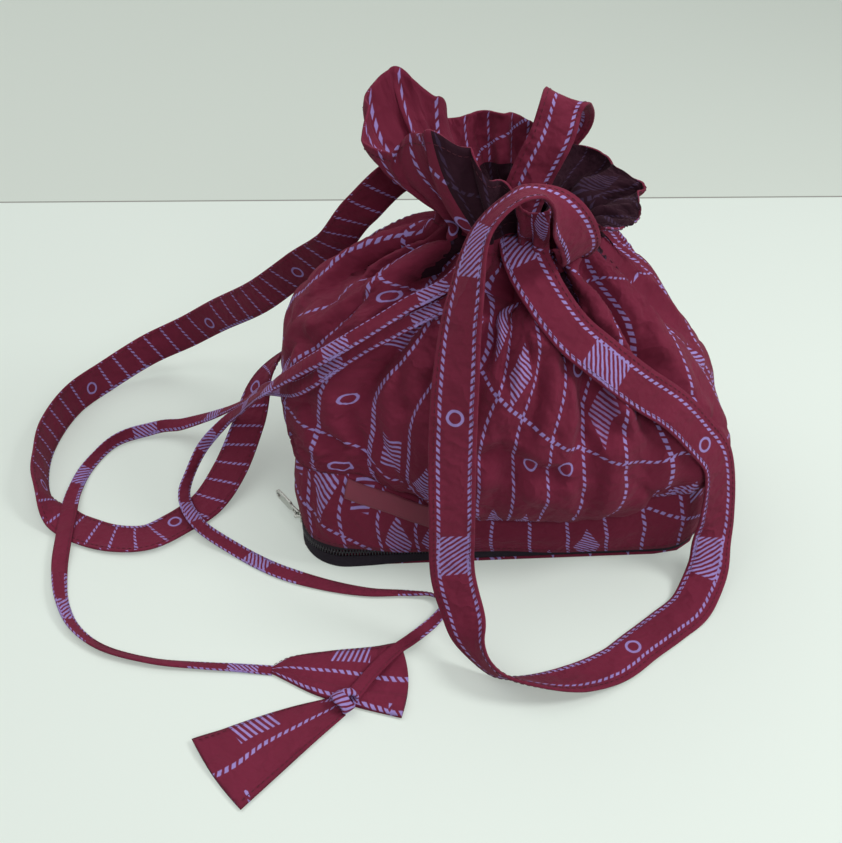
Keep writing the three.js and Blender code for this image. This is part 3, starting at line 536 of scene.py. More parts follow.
def printed_cotton(name, motif, shift=0, strength=1, ground=GROUND, deep=GROUND_DEEP):
    cotton = new_finish(name, {"Sheen Weight": 0.06, "Sheen Roughness": 0.5, "Sheen Tint": (0.75, 0.4, 0.5, 1),
                               "Specular IOR Level": 0.22})
    spot, across, along = cotton.cut_spot()
    wobble = cotton.noise(spot, 6) - 0.5
    figure = motif(cotton, across + wobble * 1.1 + shift, along + wobble * 0.9)
    threads = (across * (TURN / WEAVE)).sine() * (along * (TURN / WEAVE)).sine()
    cloud = cotton.noise(spot, 45, 4)
    fine = cotton.noise(spot, 1.4, 3)
    dyed = cotton.blend(cloud * 0.8 + fine * 0.25, deep, ground)
    inked = cotton.blend(figure * strength * (fine * 0.3 + 0.76), dyed, PRINT)
    cotton.feed("Base Color", inked)
    cotton.feed("Roughness", 0.76 + fine * 0.16 - figure * 0.05)
    crumples = 1 - abs(cotton.noise(spot, 30, 3) - 0.5) * 2
    creases = cotton.noise(spot, 13, 3)
    cotton.relief(crumples * 5 + creases * 2.6 + threads * 0.05 + fine * 0.1, 1)
    return cotton.owner


def woven_tape():
    """Black herringbone tape of the zip."""
    tape = new_finish("zip_tape_weave", {"Specular IOR Level": 0.25})
    spot, across, along = tape.cut_spot()
    bone = abs((along / 2.4) % 1 - 0.5) * 2.4
    twill = abs(((across + bone) / 0.9) % 1 - 0.5)
    dust = tape.noise(spot, 3, 4)
    tape.feed("Base Color", tape.blend(dust * 0.8 + twill * 0.3, tint(22, 17, 25), tint(52, 44, 56)))
    tape.feed("Roughness", 0.8 + dust * 0.15)
    tape.relief(twill + dust * 0.4, 0.35)
    return tape.owner


def speckled(name, settings, size, detail, dark, light, roughness, change):
    """Plain stuff whose tone and roughness change from speck to speck."""
    stuff = new_finish(name, settings)
    speck = stuff.noise(stuff.object_spot(), size, detail)
    stuff.feed("Base Color", stuff.blend(speck, dark, light))
    stuff.feed("Roughness", roughness + speck * change)
    return stuff.owner


def nickel():
    metal = new_finish("worn_nickel", {"Metallic": 1})
    spot = metal.object_spot()
    cloud = metal.noise(spot, 3.5, 4)
    drawn_out = metal.node("ShaderNodeMapping", {}, {"Vector": spot, "Scale": (1, 1, 14)})
    scratches = metal.noise(drawn_out, 1 / 0.9, 3)
    metal.feed("Base Color", metal.blend(cloud, tint(164, 164, 162), tint(214, 213, 208)))
    metal.feed("Roughness", 0.22 + cloud * 0.16 + scratches * 0.12)
    metal.relief(scratches * 0.5 + cloud * 0.5, 0.05)
    return metal.owner


def satin_label():
    """Plain satin-woven label with fine ribs along it and a denser selvedge."""
    satin = new_finish("satin_label", {"Sheen Weight": 0.1})
    spot, _, along = satin.cut_spot()
    ribs = (along * (TURN / 0.7)).sine()
    middle = LABEL_HEIGHT / 2
    selvedge = (middle - abs(along - middle)).below(1.2, 0.4)
    cloud = satin.noise(spot, 9, 4)
    shade = (cloud * 0.7 + ribs * 0.08 - selvedge * 0.25).maths("ADD", 0.15, clamp=True)
    satin.feed("Base Color", satin.blend(shade, tint(112, 35, 56), tint(140, 50, 74)))
    satin.feed("Roughness", 0.5 + cloud * 0.2)
    satin.relief(ribs * 0.4 + cloud, 0.12)
    return satin.owner


# Shapes

def unit(v):
    return v / np.maximum(np.linalg.norm(v, axis=-1, keepdims=True), 1e-12)


def running(steps):
    """Steps added up one by one, from 0."""
    return np.concatenate([[0], np.cumsum(steps)])


def way_along(line):
    return running(np.linalg.norm(np.diff(line, axis=0), axis=1))


def spline(points, shares):
    """Smooth line through points, passing each one, at shares of its length counted in points."""
    points = np.asarray(points, float)
    ends = np.vstack([2 * points[0] - points[1], points, 2 * points[-1] - points[-2]])
    place = np.clip(shares, 0, 1) * (len(points) - 1)
    first = np.minimum(place.astype(int), len(points) - 2)
    w = (place - first)[:, None]
    p0, p1, p2, p3 = (ends[first + k] for k in range(4))

    def root_gap(a, b):
        return np.sqrt(np.maximum(np.linalg.norm(b - a, axis=1), 1e-8))[:, None]

    g0, g1, g2 = root_gap(p0, p1), root_gap(p1, p2), root_gap(p2, p3)
    t1 = ((p1 - p0) / g0 - (p2 - p0) / (g0 + g1) + (p2 - p1) / g1) * g1
    t2 = ((p2 - p1) / g1 - (p3 - p1) / (g1 + g2) + (p3 - p2) / g2) * g1
    return p1 + t1 * w + (3 * (p2 - p1) - 2 * t1 - t2) * w ** 2 + (2 * (p1 - p2) + t1 + t2) * w ** 3


def spaced(line, step):
    """Shares of a line at which its points lie evenly, about a step apart, and the line's length."""
    shares = np.linspace(0, 1, 3000)
    along = way_along(spline(line, shares))
    count = int(along[-1] / step) + 1
    return np.interp(np.linspace(0, along[-1], count), along, shares), along[-1]


def ribbon_frame(places, facing, step):
    """Places along a ribbon, its directions across and out of its face there, and its length."""
    shares, length = spaced(places, step)
    line = spline(places, shares)
    along = unit(np.gradient(line, axis=0))
    across = unit(np.cross(spline(facing, shares), along))
    return line, across, np.cross(along, across), length


def folded_section(width, thickness, flats=9):
    """Outline of a strip folded from cloth: two faces and two round folded edges, as (across, out)."""
    round_half = thickness / 2
    side = width / 2 - round_half
    flat = np.linspace(-1, 1, flats) * side
    plump = round_half * (1 + 0.12 * np.cos(flat / (width / 2) * math.pi))
    bend = np.linspace(0, math.pi, 5)[1:-1]
    right = np.stack([side + round_half * np.sin(bend), plump[0] * np.cos(bend)], 1)
    left = np.stack([-side - round_half * np.sin(bend), -plump[0] * np.cos(bend)], 1)
    return np.vstack([np.stack([flat, plump], 1), right, np.stack([-flat, -plump], 1), left])


def lofted(name, rings, flat, ring_closed=True, capped=True):
    """A skin through rings of places in millimetres, started from a grid and laid on its places.
    flat holds each place's spot on the cut cloth, in millimetres, and becomes the UV map."""
    if ring_closed:
        rings = np.concatenate([rings, rings[:, :1]], axis=1)
    rows, columns = rings.shape[:2]
    deselect()
    bpy.ops.mesh.primitive_grid_add(x_subdivisions=columns - 1, y_subdivisions=rows - 1, size=1)
    piece = bpy.context.object
    piece.name = piece.data.name = name
    mesh = piece.data
    spots = np.zeros(len(mesh.vertices) * 3)
    mesh.vertices.foreach_get("co", spots)
    column, row = np.rint((spots.reshape(-1, 3)[:, :2] + 0.5) * [columns - 1, rows - 1]).astype(int).T
    mesh.vertices.foreach_set("co", (rings[row, column] * MM).ravel())
    layer = mesh.uv_layers[0]
    layer.name = "cut"
    corner = np.zeros(len(mesh.loops), int)
    mesh.loops.foreach_get("vertex_index", corner)
    layer.data.foreach_set("uv", (flat[row, column][corner] * MM).ravel())
    mesh.update()
    bpy.ops.object.mode_set(mode="EDIT")
    bpy.ops.mesh.select_all(action="SELECT")
    if ring_closed:
        bpy.ops.mesh.remove_doubles(threshold=1e-6)
    if capped:
        bpy.ops.mesh.fill_holes(sides=0)
    bpy.ops.mesh.select_all(action="SELECT")
    bpy.ops.mesh.normals_make_consistent(inside=False)
    bpy.ops.object.mode_set(mode="OBJECT")
    bpy.ops.object.shade_smooth()
    return piece


def mesh_piece(name, places, faces):
    """A smooth piece from places in millimetres and the faces between them."""
    mesh = bpy.data.meshes.new(name)
    mesh.from_pydata((places * MM).tolist(), [], faces)
    mesh.shade_smooth()
    piece = bpy.data.objects.new(name, mesh)
    bpy.context.scene.collection.objects.link(piece)
    return piece


def apply_modifier(piece, kind, **settings):
    deselect()
    bpy.context.view_layer.objects.active = piece
    piece.select_set(True)
    modifier = piece.modifiers.new(kind.lower(), kind)
    for name, value in settings.items():
        setattr(modifier, name, value)
    bpy.ops.object.modifier_apply(modifier=modifier.name)


def wear(piece, *materials):
    piece.data.materials.clear()
    for material in materials:
        piece.data.materials.append(material)


def settle(piece, body, *nodes, slot=None):
    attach(piece, body)
    if nodes:
        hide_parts(*nodes)


def sew(piece):
    """Makes a row of stitches thread that belongs to the bag."""
    wear(piece, thread)
    settle(piece, "bag")


def cut_layout(rings, ring_closed=True):
    """Flat spots of a loft: its mean way round across, and its mean way along up the cut."""
    loop = np.concatenate([rings, rings[:, :1]], axis=1) if ring_closed else rings
    across = running(np.linalg.norm(np.diff(loop, axis=1), axis=2).mean(0))
    along = running(np.linalg.norm(np.diff(rings, axis=0), axis=2).mean(1))
    return np.stack(np.meshgrid(across, along), axis=2)


def cupped(share):
    """How a cup across a strip lifts its edges and lowers its middle, at a share of its half width."""
    return share ** 2 - 0.33


def strip(name, line, across, out, width, thickness, cup, flats=9):
    """A folded strip of cloth along a ribbon's frame, cupped a little across its width."""
    section = folded_section(width, thickness, flats)
    bow = cup[:, None] * cupped(section[:, 0] / (width / 2))[None]
    height = section[None, :, 1:] + bow[..., None]
    rings = line[:, None] + across[:, None] * section[None, :, :1] + out[:, None] * height
    return lofted(name, rings, cut_layout(rings))


def stitches(name, line, out, stitch=3.0, gap=1.1, thickness=0.42):
    """A row of sewn stitches laid on a line, each a short length of thread that dips at both ends."""
    along = way_along(line)
    starts = np.arange(gap, along[-1] - stitch, stitch + gap)
    at = starts[:, None] + np.array([0, 0.2, 0.8, 1]) * stitch
    centre = np.stack([np.interp(at, along, line[:, k]) for k in range(3)], axis=2)
    up = unit(np.stack([np.interp(at, along, out[:, k]) for k in range(3)], axis=2))
    forward = unit(centre[:, -1:] - centre[:, :1])
    side = unit(np.cross(forward, up))
    lift = np.array([-0.1, 0.22, 0.22, -0.1]) * thickness * 2
    size = np.array([0.35, 1, 1, 0.35]) * thickness / 2
    sides = 5
    turns = (np.arange(sides) / sides * TURN)[None, None, :, None]
    round_it = side[:, :, None] * np.cos(turns) + up[:, :, None] * np.sin(turns)
    rings = (centre + up * lift[None, :, None])[:, :, None] + size[None, :, None, None] * round_it
    this = np.arange(sides)
    after = (this + 1) % sides
    quad = np.stack([this, after, after + sides, this + sides], 1)
    quads = np.concatenate([quad + row * sides for row in range(len(size) - 1)])
    faces = quads[None] + np.arange(len(starts))[:, None, None] * sides * len(size)
    return mesh_piece(name, rings.reshape(-1, 3), faces.reshape(-1, 4).tolist())


def joined(name, pieces):
    deselect()
    for piece in pieces:
        piece.select_set(True)
    bpy.context.view_layer.objects.active = pieces[0]
    bpy.ops.object.join()
    pieces[0].name = pieces[0].data.name = name
    return pieces[0]


# Cloth of the bag

def smooth(share):
    s = np.clip(share, 0, 1)
    return s * s * (3 - 2 * s)


def ramp(value, low, high):
    """0 up to a low value and 1 from a high one, eased between."""
    return smooth((value - low) / (high - low))


def turn_apart(angle, start):
    """The shorter way round from one angle to another, with its sign."""
    return (angle - start + math.pi) % TURN - math.pi


def eased(knots, angle):
    """Values at angles of a ring of knots, eased from each knot to the next."""
    degrees = np.degrees(angle) % 360
    stops = np.array([k[0] for k in knots] + [360.0])
    values = np.array([k[1:] for k in knots] + [knots[0][1:]], float)
    before = np.clip(np.searchsorted(stops, degrees, side="right") - 1, 0, len(stops) - 2)
    share = smooth((degrees - stops[before]) / (stops[before + 1] - stops[before]))
    return values[before] + (values[before + 1] - values[before]) * share[..., None]


def rounded_reach(angle, a, b, corner):
    """Distance from the middle to a rounded rectangle at an angle."""
    dx, dy = np.abs(np.cos(angle)), np.abs(np.sin(angle))
    flat = np.minimum(a / np.maximum(dx, 1e-9), b / np.maximum(dy, 1e-9))
    cx, cy = a - corner, b - corner
    along, across = dx * cx + dy * cy, dx * cy - dy * cx
    bend = along + np.sqrt(np.maximum(corner * corner - across * across, 0))
    return np.where((flat * dx <= cx) | (flat * dy <= cy), flat, bend)


def oval_reach(angle, a, b):
    return 1 / np.hypot(np.cos(angle) / a, np.sin(angle) / b)


def round_base(angle, z, inset):
    """Places on the base's outline at heights, set in from it."""
    reach = rounded_reach(angle, HALF_WIDTH - inset, HALF_DEPTH - inset, BASE_CORNER - inset)
    return np.stack(np.broadcast_arrays(reach * np.cos(angle), reach * np.sin(angle), z), axis=-1)


def seam_height(angle):
    return eased(SEAM, angle)[..., 0]


def side_reach(side, z, seam, overhang, base_half, neck_half):
    swell = BULGE[side] * overhang
    widest = base_half + swell
    middle = seam + (NECK_HEIGHT - seam) * WIDEST[side]
    low = widest - swell * (np.maximum(middle - z, 0) / (middle - seam)) ** 3
    up = np.clip((z - middle) / (NECK_HEIGHT - middle), 0, 1)
    high = neck_half + (widest - neck_half) * (1 - up ** FULLNESS[side])
    return np.where(z < middle, low, high)


def pleat(angle):
    broad = np.sin(11 * angle + 0.9 * np.sin(2 * angle))
    fine = np.sin(17 * angle + 0.9 * np.sin(3 * angle))
    return broad * 0.65 + fine * 0.35


def body_places(angle, rise, fold):
    """The body's cloth: rise runs from 0 at the seam to 1 at the neck."""
    seam, overhang = np.moveaxis(eased(SEAM, angle), -1, 0)
    seam = seam + FIT
    z = seam + (NECK_HEIGHT - seam) * rise
    reach = {s: side_reach(s, z, seam, overhang, h, n) for s, h, n in (
        ("left", HALF_WIDTH, NECK_HALF[0]), ("right", HALF_WIDTH, NECK_HALF[0]),
        ("front", HALF_DEPTH, NECK_HALF[1]), ("back", HALF_DEPTH, NECK_HALF[1]))}
    a = np.where(np.cos(angle) > 0, reach["right"], reach["left"])
    b = np.where(np.sin(angle) > 0, reach["back"], reach["front"])
    square = (1 - rise) ** 1.5
    corner = np.minimum(np.minimum(BASE_CORNER * a / HALF_WIDTH, a), b)
    plain = oval_reach(angle, a, b) * (1 - square) + rounded_reach(angle, a, b, corner) * square
    gather = PLEAT_DEPTH * ramp(rise, 0.5, 1) ** 1.5
    out = plain * (1 + gather * fold)
    return np.stack([NECK_SHIFT * rise ** 2 + out * np.cos(angle), out * np.sin(angle), z], axis=-1)


def frill_places(angle, rise, fold):
    """The casing and the frill: rise runs from 0 at the neck to 1 at the rim."""
    flare, height = np.moveaxis(eased(RIM, angle), -1, 0)
    up = np.maximum(0, (rise - CASING_SHARE) / (1 - CASING_SHARE))
    z = NECK_HEIGHT + CASING_HEIGHT * np.minimum(rise / CASING_SHARE, 1) + height * up
    neck = oval_reach(angle, *NECK_HALF)
    gather = PLEAT_DEPTH + (RIM_PLEAT_DEPTH - PLEAT_DEPTH) * up
    out = (neck + flare * np.sin(up * math.pi / 2)) * (1 + gather * fold)
    return np.stack([NECK_SHIFT + out * np.cos(angle), out * np.sin(angle), z], axis=-1)


def crease_depth(angle, rise, up):
    """How far the creases of the gathers pull the cloth in: rise to the neck, then up to the rim.
    Golden shares of their number spread the creases' depths and lower ends without a pattern."""
    depth = np.zeros_like(angle)
    radius = 140 - 92 * rise + 30 * up
    width = (6.5 - 3.7 * rise) * (1 + 1.3 * up)
    for k in range(CREASES):
        low = 0.25 + 0.5 * (k * 0.618 % 1)
        deep = 5 + 9 * ((k * 0.382 + 0.2) % 1) ** 1.5
        start = (k + 0.4 * math.sin(5 * k + 1)) * TURN / CREASES + 0.22 * math.sin(3 * k) * (1 - rise)
        run = ramp(rise, low, 0.97) * (1 - 0.7 * up)
        apart = turn_apart(angle, start) * radius / width
        flatter = apart > 0 if k % 2 else apart < 0
        depth += deep * run * np.exp(-np.abs(np.where(flatter, apart / 2.4, apart)) ** 1.15)
    return depth


def fold_depth(places):
    """How far the large folds pull the cloth in, with a soft ridge along both sides of each."""
    depth = np.zeros(places.shape[:2])
    shares = np.linspace(0, 1, 36)
    for way, deep, width, lean in FOLDS:
        angle, rise = spline(way, shares).T
        line = body_places(np.radians(angle), rise, pleat(np.radians(angle)))
        far = np.linalg.norm(places[:, :, None] - line, axis=3)
        nearest = far.argmin(2)
        outward = line * [1, 1, 0] + [0, 0, 60]
        side = unit(np.cross(np.gradient(line, axis=0), outward))[nearest]
        apart = ((places - line[nearest]) * side).sum(2)
        spread = width * np.where(apart * lean > 0, 1 + abs(lean), 1)
        across = far.min(2) / spread
        run = smooth(shares * 2.2)[nearest]
        depth += deep * run * (np.exp(-across ** 1.2) - 0.33 * np.exp(-((across - 1.8) / 0.75) ** 2))
    return depth


def frill_depth(angle, rise):
    """How far the frill's own folds pull its cloth in."""
    radius = 46 + 30 * rise
    depth = np.zeros_like(angle)
    for low, high, deep, width in FRILL_FOLDS:
        start = math.radians(low + (high - low) * rise)
        apart = turn_apart(angle, start) * radius / (width * (0.7 + 0.5 * rise))
        depth += deep * smooth(rise * 3) * np.exp(-np.abs(apart) ** 1.3)
    return depth


def billow(angle, rise):
    """Soft swells and dents of the full cloth between the seam and the gathers."""
    swell = 3.6 * np.sin(9 * angle + 2 * np.sin(2 * angle) + 3 * rise) + 2.6 * np.sin(16 * angle - 5 * rise + 1)
    dents = 2.4 * np.sin(23 * angle + 4 * np.sin(3 * angle + 4 * rise))
    dents = dents * np.sin(9 * rise + 3 * np.sin(5 * angle))
    return (swell + dents) * smooth(rise * 3.3) * (1 - rise ** 2)


def crumple(across, along):
    """Small wrinkles of handled cotton."""
    warp = 9 * np.sin(along / 37) + 7 * np.sin(across / 29 + along / 53)
    steep = 1 - np.abs(np.sin((across + warp) / 12 + along / 21))
    level = 1 - np.abs(np.sin((along - warp) / 14 - across / 25))
    return 2.6 * steep * level + 1.2 * steep ** 3


def rim_ripple(angle):
    return np.sin(7 * angle + 2 * np.sin(3 * angle)) + 0.7 * np.sin(19 * angle + 3 * np.sin(2 * angle))


def cloth_places():
    """Rows of places up the body and the frill, moved along the cloth's own outward direction."""
    angle = np.linspace(0, TURN, BODY_COLUMNS, endpoint=False)
    fold = pleat(angle)
    across = angle / TURN * CUT_WIDTH
    rows, shifts = [], []
    for rise in 1 - (1 - np.linspace(0, 1, BODY_ROWS)) ** 1.2:
        rows.append(body_places(angle, np.full_like(angle, rise), fold))
        shift = billow(angle, rise) - crease_depth(angle, rise, 0)
        shifts.append(shift - shift.mean() - crumple(across, rise * BODY_CUT) * smooth(rise * 5))
    shifts = np.array(shifts) - fold_depth(np.array(rows))
    shifts = list(np.where(shifts > 0, STANDS_OUT * np.tanh(shifts / STANDS_OUT), shifts))
    lean = math.radians(TURNED_LEAN) * np.exp(-((np.degrees(angle) - TURNED_EDGE[0]) / 14) ** 2)
    for rise in np.linspace(0, 1, FRILL_ROWS + 1)[1:]:
        turned = angle - lean * rise
        rows.append(frill_places(turned, np.full_like(angle, rise), pleat(turned)))
        shift = rise * rim_ripple(turned) - crease_depth(turned, 1, rise) - frill_depth(turned, rise)
        wrinkles = crumple(across, BODY_CUT + rise * FRILL_CUT) * (1 - 0.6 * rise)
        shifts.append(shift - shift.mean() - wrinkles)
    places = np.array(rows)
    around = np.roll(places, -1, axis=1) - np.roll(places, 1, axis=1)
    outward = unit(np.cross(around, np.gradient(places, axis=0)))
    return places + outward * np.array(shifts)[..., None]


def relax(piece, held):
    """Lets the cloth settle, puffed out by what fills the bag. held is how firmly each place is sewn."""
    mesh = piece.data
    start = np.zeros(len(mesh.vertices) * 3)
    mesh.vertices.foreach_get("co", start)
    group = piece.vertex_groups.new(name="held")
    for index, weight in enumerate(held):
        group.add([index], float(weight), "REPLACE")
    drape = piece.modifiers.new("drape", "CLOTH")
    for name, value in DRAPE.items():
        setattr(drape.settings, name, value)
    drape.settings.vertex_group_mass = "held"
    drape.settings.effector_weights.gravity = 0
    drape.collision_settings.use_collision = False
    drape.point_cache.frame_end = SETTLE_FRAMES
    for step in range(1, SETTLE_FRAMES + 1):
        bpy.context.scene.frame_set(step)
    hung = piece.evaluated_get(bpy.context.evaluated_depsgraph_get()).data
    end = np.zeros_like(start)
    hung.vertices.foreach_get("co", end)
    piece.modifiers.remove(drape)
    bpy.context.scene.frame_set(1)
    moved = (end - start).reshape(-1, 3)
    far = np.linalg.norm(moved, axis=1, keepdims=True)
    kept = moved * np.minimum(1, SETTLE_MOST * MM / np.maximum(far, 1e-9))
    mesh.vertices.foreach_set("co", start + kept.ravel())
    mesh.update()


def tree_of(piece):
    return BVHTree.FromObject(piece, bpy.context.evaluated_depsgraph_get())


def press_under(piece, what):
    """Pushes cloth in where a strap or strand lies over it."""
    trees = [tree_of(o) for o in what]
    reach = PRESS_REACH * MM
    for vertex in piece.data.vertices:
        if vertex.co.z > PRESS_BELOW * MM:
            continue
        out = vertex.normal
        for tree in trees:
            spot, facing, _, far = tree.ray_cast(vertex.co - out * reach, out, reach * 1.6)
            if spot is None or facing.dot(out) > 0:
                continue
            over = reach + CLOTH / 2 * MM - far
            if 0 < over < PRESS_MOST * MM:
                vertex.co -= out * over
    piece.data.update()


set_camera()

thread = speckled("sewing_thread", {"Specular IOR Level": 0.3}, 1.1, 2,
                   tint(52, 10, 26), tint(84, 24, 42), 0.5, 0.25)
body_cotton = printed_cotton("printed_cotton", bag_print)
band_cotton = printed_cotton("printed_cotton_band", bag_print, shift=23)
tail_cotton = printed_cotton("printed_cotton_tails", bag_print, shift=9)
front_strap_cotton = printed_cotton("printed_cotton_front_strap", long_strap_print)
rear_strap_cotton = printed_cotton("printed_cotton_rear_strap", cross_strap_print)
strand_cotton = printed_cotton("printed_cotton_strands", strand_print)
# The cloth's reverse with a faint ghost of the print; its near-black tone is painted shade for the bag's inside
reverse_cotton_painted_shade = printed_cotton("cotton_reverse_painted_shade", bag_print, strength=0.07, ground=REVERSE_PAINTED_SHADE, deep=REVERSE_PAINTED_SHADE_DEEP)
tie_cotton = printed_cotton("printed_cotton_tie", tie_print)
tape_weave = woven_tape()
coil_black = speckled("zip_coil_plastic", {}, 2.2, 4, tint(24, 20, 27), tint(58, 52, 62), 0.34, 0.25)
silver = nickel()
label_satin = satin_label()


# Drawstring

def laid(route):
    """A strand's route lowered from the round cord of the frame to the flat strip that lies there."""
    places = np.array(route, float)
    drop = (STRAND_SIZE - STRAND_THICKNESS) / 2
    places[:, 2] -= drop * (1 - ramp(places[:, 2], 12, 72))
    return places


def strand_facing(places, turns):
    """Out of the bag where a strand lies on it, up where it lies on the floor, rolled by its twists."""
    out = np.stack([places[:, 0] / HALF_WIDTH, places[:, 1] / HALF_DEPTH, np.full(len(places), 0.9)], 1)
    hung = ramp(places[:, 2], 20, 110)[:, None]
    facing = unit(unit(out) * hung + UP * (1 - hung))
    along = unit(np.gradient(places, axis=0))
    side = unit(np.cross(facing, along))
    roll = np.radians(np.interp(np.linspace(0, 1, len(places)), *np.array(turns).T))[:, None]
    return facing * np.cos(roll) + side * np.sin(roll)


def strand(name, route, turns, widths):
    """A narrow strip folded from cloth. turns and widths give its roll and width at shares of its way."""
    places = laid(route)
    line, across, out, length = ribbon_frame(places, strand_facing(places, turns), STRAND_STEP)
    way = np.linspace(0, length, len(line))
    width = np.interp(way / length, *np.array(widths).T)
    rolled = np.abs(np.sin(np.arccos(np.clip(np.abs(out[:, 2]), 0, 1))))
    lying = 1 - ramp(line[:, 2], 6, 12)
    line[:, 2] += lying * np.maximum(rolled * width / 2 - 0.6, 0)
    cup = 0.5 * np.sin(way / 31) + 0.3 * np.sin(way / 13 + 1)
    breadth = across * (width / STRAND_WIDTH)[:, None]
    piece = strip(name, line, breadth, out, STRAND_WIDTH, STRAND_THICKNESS, cup, flats=7)
    wear(piece, strand_cotton)
    edge = line + across * (width / 2 - 1.7)[:, None] + out * (STRAND_THICKNESS / 2 + cup * 0.2)[:, None]
    seam = stitches(name + "_seam", edge, out, stitch=2.2, gap=0.9, thickness=0.34)
    return piece, seam, line, length


def upper_lift(place):
    """The upper tail's far corner stands a little off the floor."""
    return 1.6 * ramp(place[..., 0], -96, -76) * ramp(place[..., 1], -178, -152)


def lower_lift(place):
    """The lower tail's end curls up a little."""
    return 2 * ramp(-place[..., 0], 185, 205)


def leaf_tail(name, edges, lift, turned, bow):
    """Wide end of a strand: two layers of cloth pressed flat, sewn at the edges, one edge turned over."""
    ways = np.linspace(0, 1, 44)
    top = spline([e[0] for e in edges], ways)
    low = spline([e[1] for e in edges], ways)
    section = folded_section(2, 2 * TAIL_HALF, flats=21)
    share = (section[:, 0] + 1) / 2
    flat = top[:, None] * share[None, :, None] + low[:, None] * (1 - share)[None, :, None]
    flat[..., 0] += bow * (np.sin(math.pi * share)[None] * ramp(ways, 0.8, 1)[:, None])
    inside = np.clip(1 - np.abs(section[:, 0]) ** 6, 0, 1)
    puff = 0.55 + 0.5 * inside
    ripple = np.sin(flat[..., 0] / 9 + flat[..., 1] / 14) * np.sin(flat[..., 1] / 11 + 1) * 0.35 * inside
    fold = turned * (1 - ramp(share, 0.25, 0.29)) - 0.5 * turned * np.exp(-((share - 0.29) / 0.03) ** 2)
    height = section[None, :, 1] / TAIL_HALF * puff[None] * 1.1 + (ripple + fold) * (section[None, :, 1] > 0)
    rings = np.concatenate([flat, (height + TAIL_MIDDLE + lift(flat))[..., None]], axis=2)
    piece = lofted(name, rings, cut_layout(rings))
    wear(piece, tail_cotton)
    rows = []
    for at in (0.06, 0.94):
        line = np.concatenate([top * at + low * (1 - at), np.full((len(ways), 1), TAIL_TOP)], axis=1)
        line[:, 2] += lift(line[:, None, :2])[:, 0]
        rows.append(stitches(f"{name}_row", line, np.tile(UP, (len(ways), 1)), stitch=2.6))
    return piece, joined(name + "_stitches", rows)


def tied_knot():
    """The strip's flat turn round the upper tail's edge, and the tuck where it comes out again."""
    turns = np.linspace(0, TURN, 40, endpoint=False)
    pieces = []
    for index, (axis, place, wide, high, width, lean) in enumerate(KNOT_TURNS):
        axle = unit(np.array(axis))
        level = unit(np.cross(axle, UP))
        rise = np.cross(level, axle)
        section = folded_section(width, KNOT_THICKNESS, flats=7)
        spoke = level[None] * np.cos(turns)[:, None] * wide + rise[None] * np.sin(turns)[:, None] * high
        swing = axle * (lean * np.sin(turns + index))[:, None]
        centre = np.array(KNOT_PLACE) + place + spoke * 0.85 + swing
        pinch = 1 - 0.2 * np.sin(2 * turns + index) ** 2
        breadth = axle * section[None, :, :1] * pinch[:, None, None]
        rings = centre[:, None] + breadth + unit(spoke)[:, None] * section[None, :, 1:]
        rings = np.concatenate([rings, rings[:1]])
        pieces.append(lofted(f"turn_{index}", rings, cut_layout(rings), capped=False))
    knot = joined("drawstring_tie", pieces)
    wear(knot, tie_cotton)
    return knot


left_strand, left_seam, left_line, left_length = strand("strand_left", LEFT_STRAND, LEFT_ROLL, LEFT_WIDTHS)
right_strand, right_seam, right_line, right_length = strand("strand_right", RIGHT_STRAND, RIGHT_ROLL, RIGHT_WIDTHS)
upper_tail, upper_sewn = leaf_tail("tail_upper", UPPER_TAIL, upper_lift, 1.3, 5)
lower_tail, lower_sewn = leaf_tail("tail_lower", LOWER_TAIL, lower_lift, 0.2, -2)
knot = tied_knot()
for piece, node in ((left_strand, "drawstring_left_leg"), (right_strand, "drawstring_right_leg"),
                    (upper_tail, "upper_tail"), (lower_tail, "lower_tail"), (knot, "drawstring_knot")):
    settle(piece, "bag", node, slot="printed_cotton")
for sewn in (left_seam, right_seam, upper_sewn, lower_sewn):
    sew(sewn)
left_line[0] * MM
left_length * MM
left_line * MM
right_line[0] * MM
right_length * MM
right_line * MM


# Straps

def tucked(stations, first, last):
    """A strap's stations with each end carried on into the gathers by a step."""
    stations = np.array(stations, float)
    start, end = stations[0].copy(), stations[-1].copy()
    start[:3] += first
    end[:3] += last
    return np.vstack([start, stations, end])


def strap(name, stations, node, cotton):
    line, across, out, length = ribbon_frame(stations[:, :3], stations[:, 3:], STRAP_STEP)
    way = np.linspace(0, length, len(line))
    cup = 0.7 * np.sin(way / 41) + 0.4 * np.sin(way / 17 + 2)
    piece = strip(name, line, across, out, STRAP_WIDTH, STRAP_THICKNESS, cup)
    wear(piece, cotton)
    settle(piece, "bag", node, slot="printed_cotton")
    rows = []
    at = STRAP_WIDTH / 2 - STITCH_INSET
    for side in (-1, 1):
        for face in (-1, 1):
            lift = face * STRAP_THICKNESS * 0.48 + cup * cupped(at / (STRAP_WIDTH / 2))
            rows.append(stitches("row", line + across * side * at + out * lift[:, None], out * face))
    sewn = joined(name + "_stitches", rows)
    sew(sewn)
    length * MM
    return piece


front_strap = strap("strap_front", tucked(FRONT_STRAP, *FRONT_TUCK), "front_strap", front_strap_cotton)
rear_strap = strap("strap_rear", tucked(REAR_STRAP, *REAR_TUCK), "rear_strap", rear_strap_cotton)


# Body

def on_cloth(piece, line, lift):
    """Moves a line onto the nearest cloth, and gives the cloth's outward direction along it."""
    tree = tree_of(piece)
    found = [tree.find_nearest(Vector(p * MM)) for p in line]
    out = np.array([f[1] for f in found])
    return np.array([f[0] for f in found]) / MM + out * lift, out


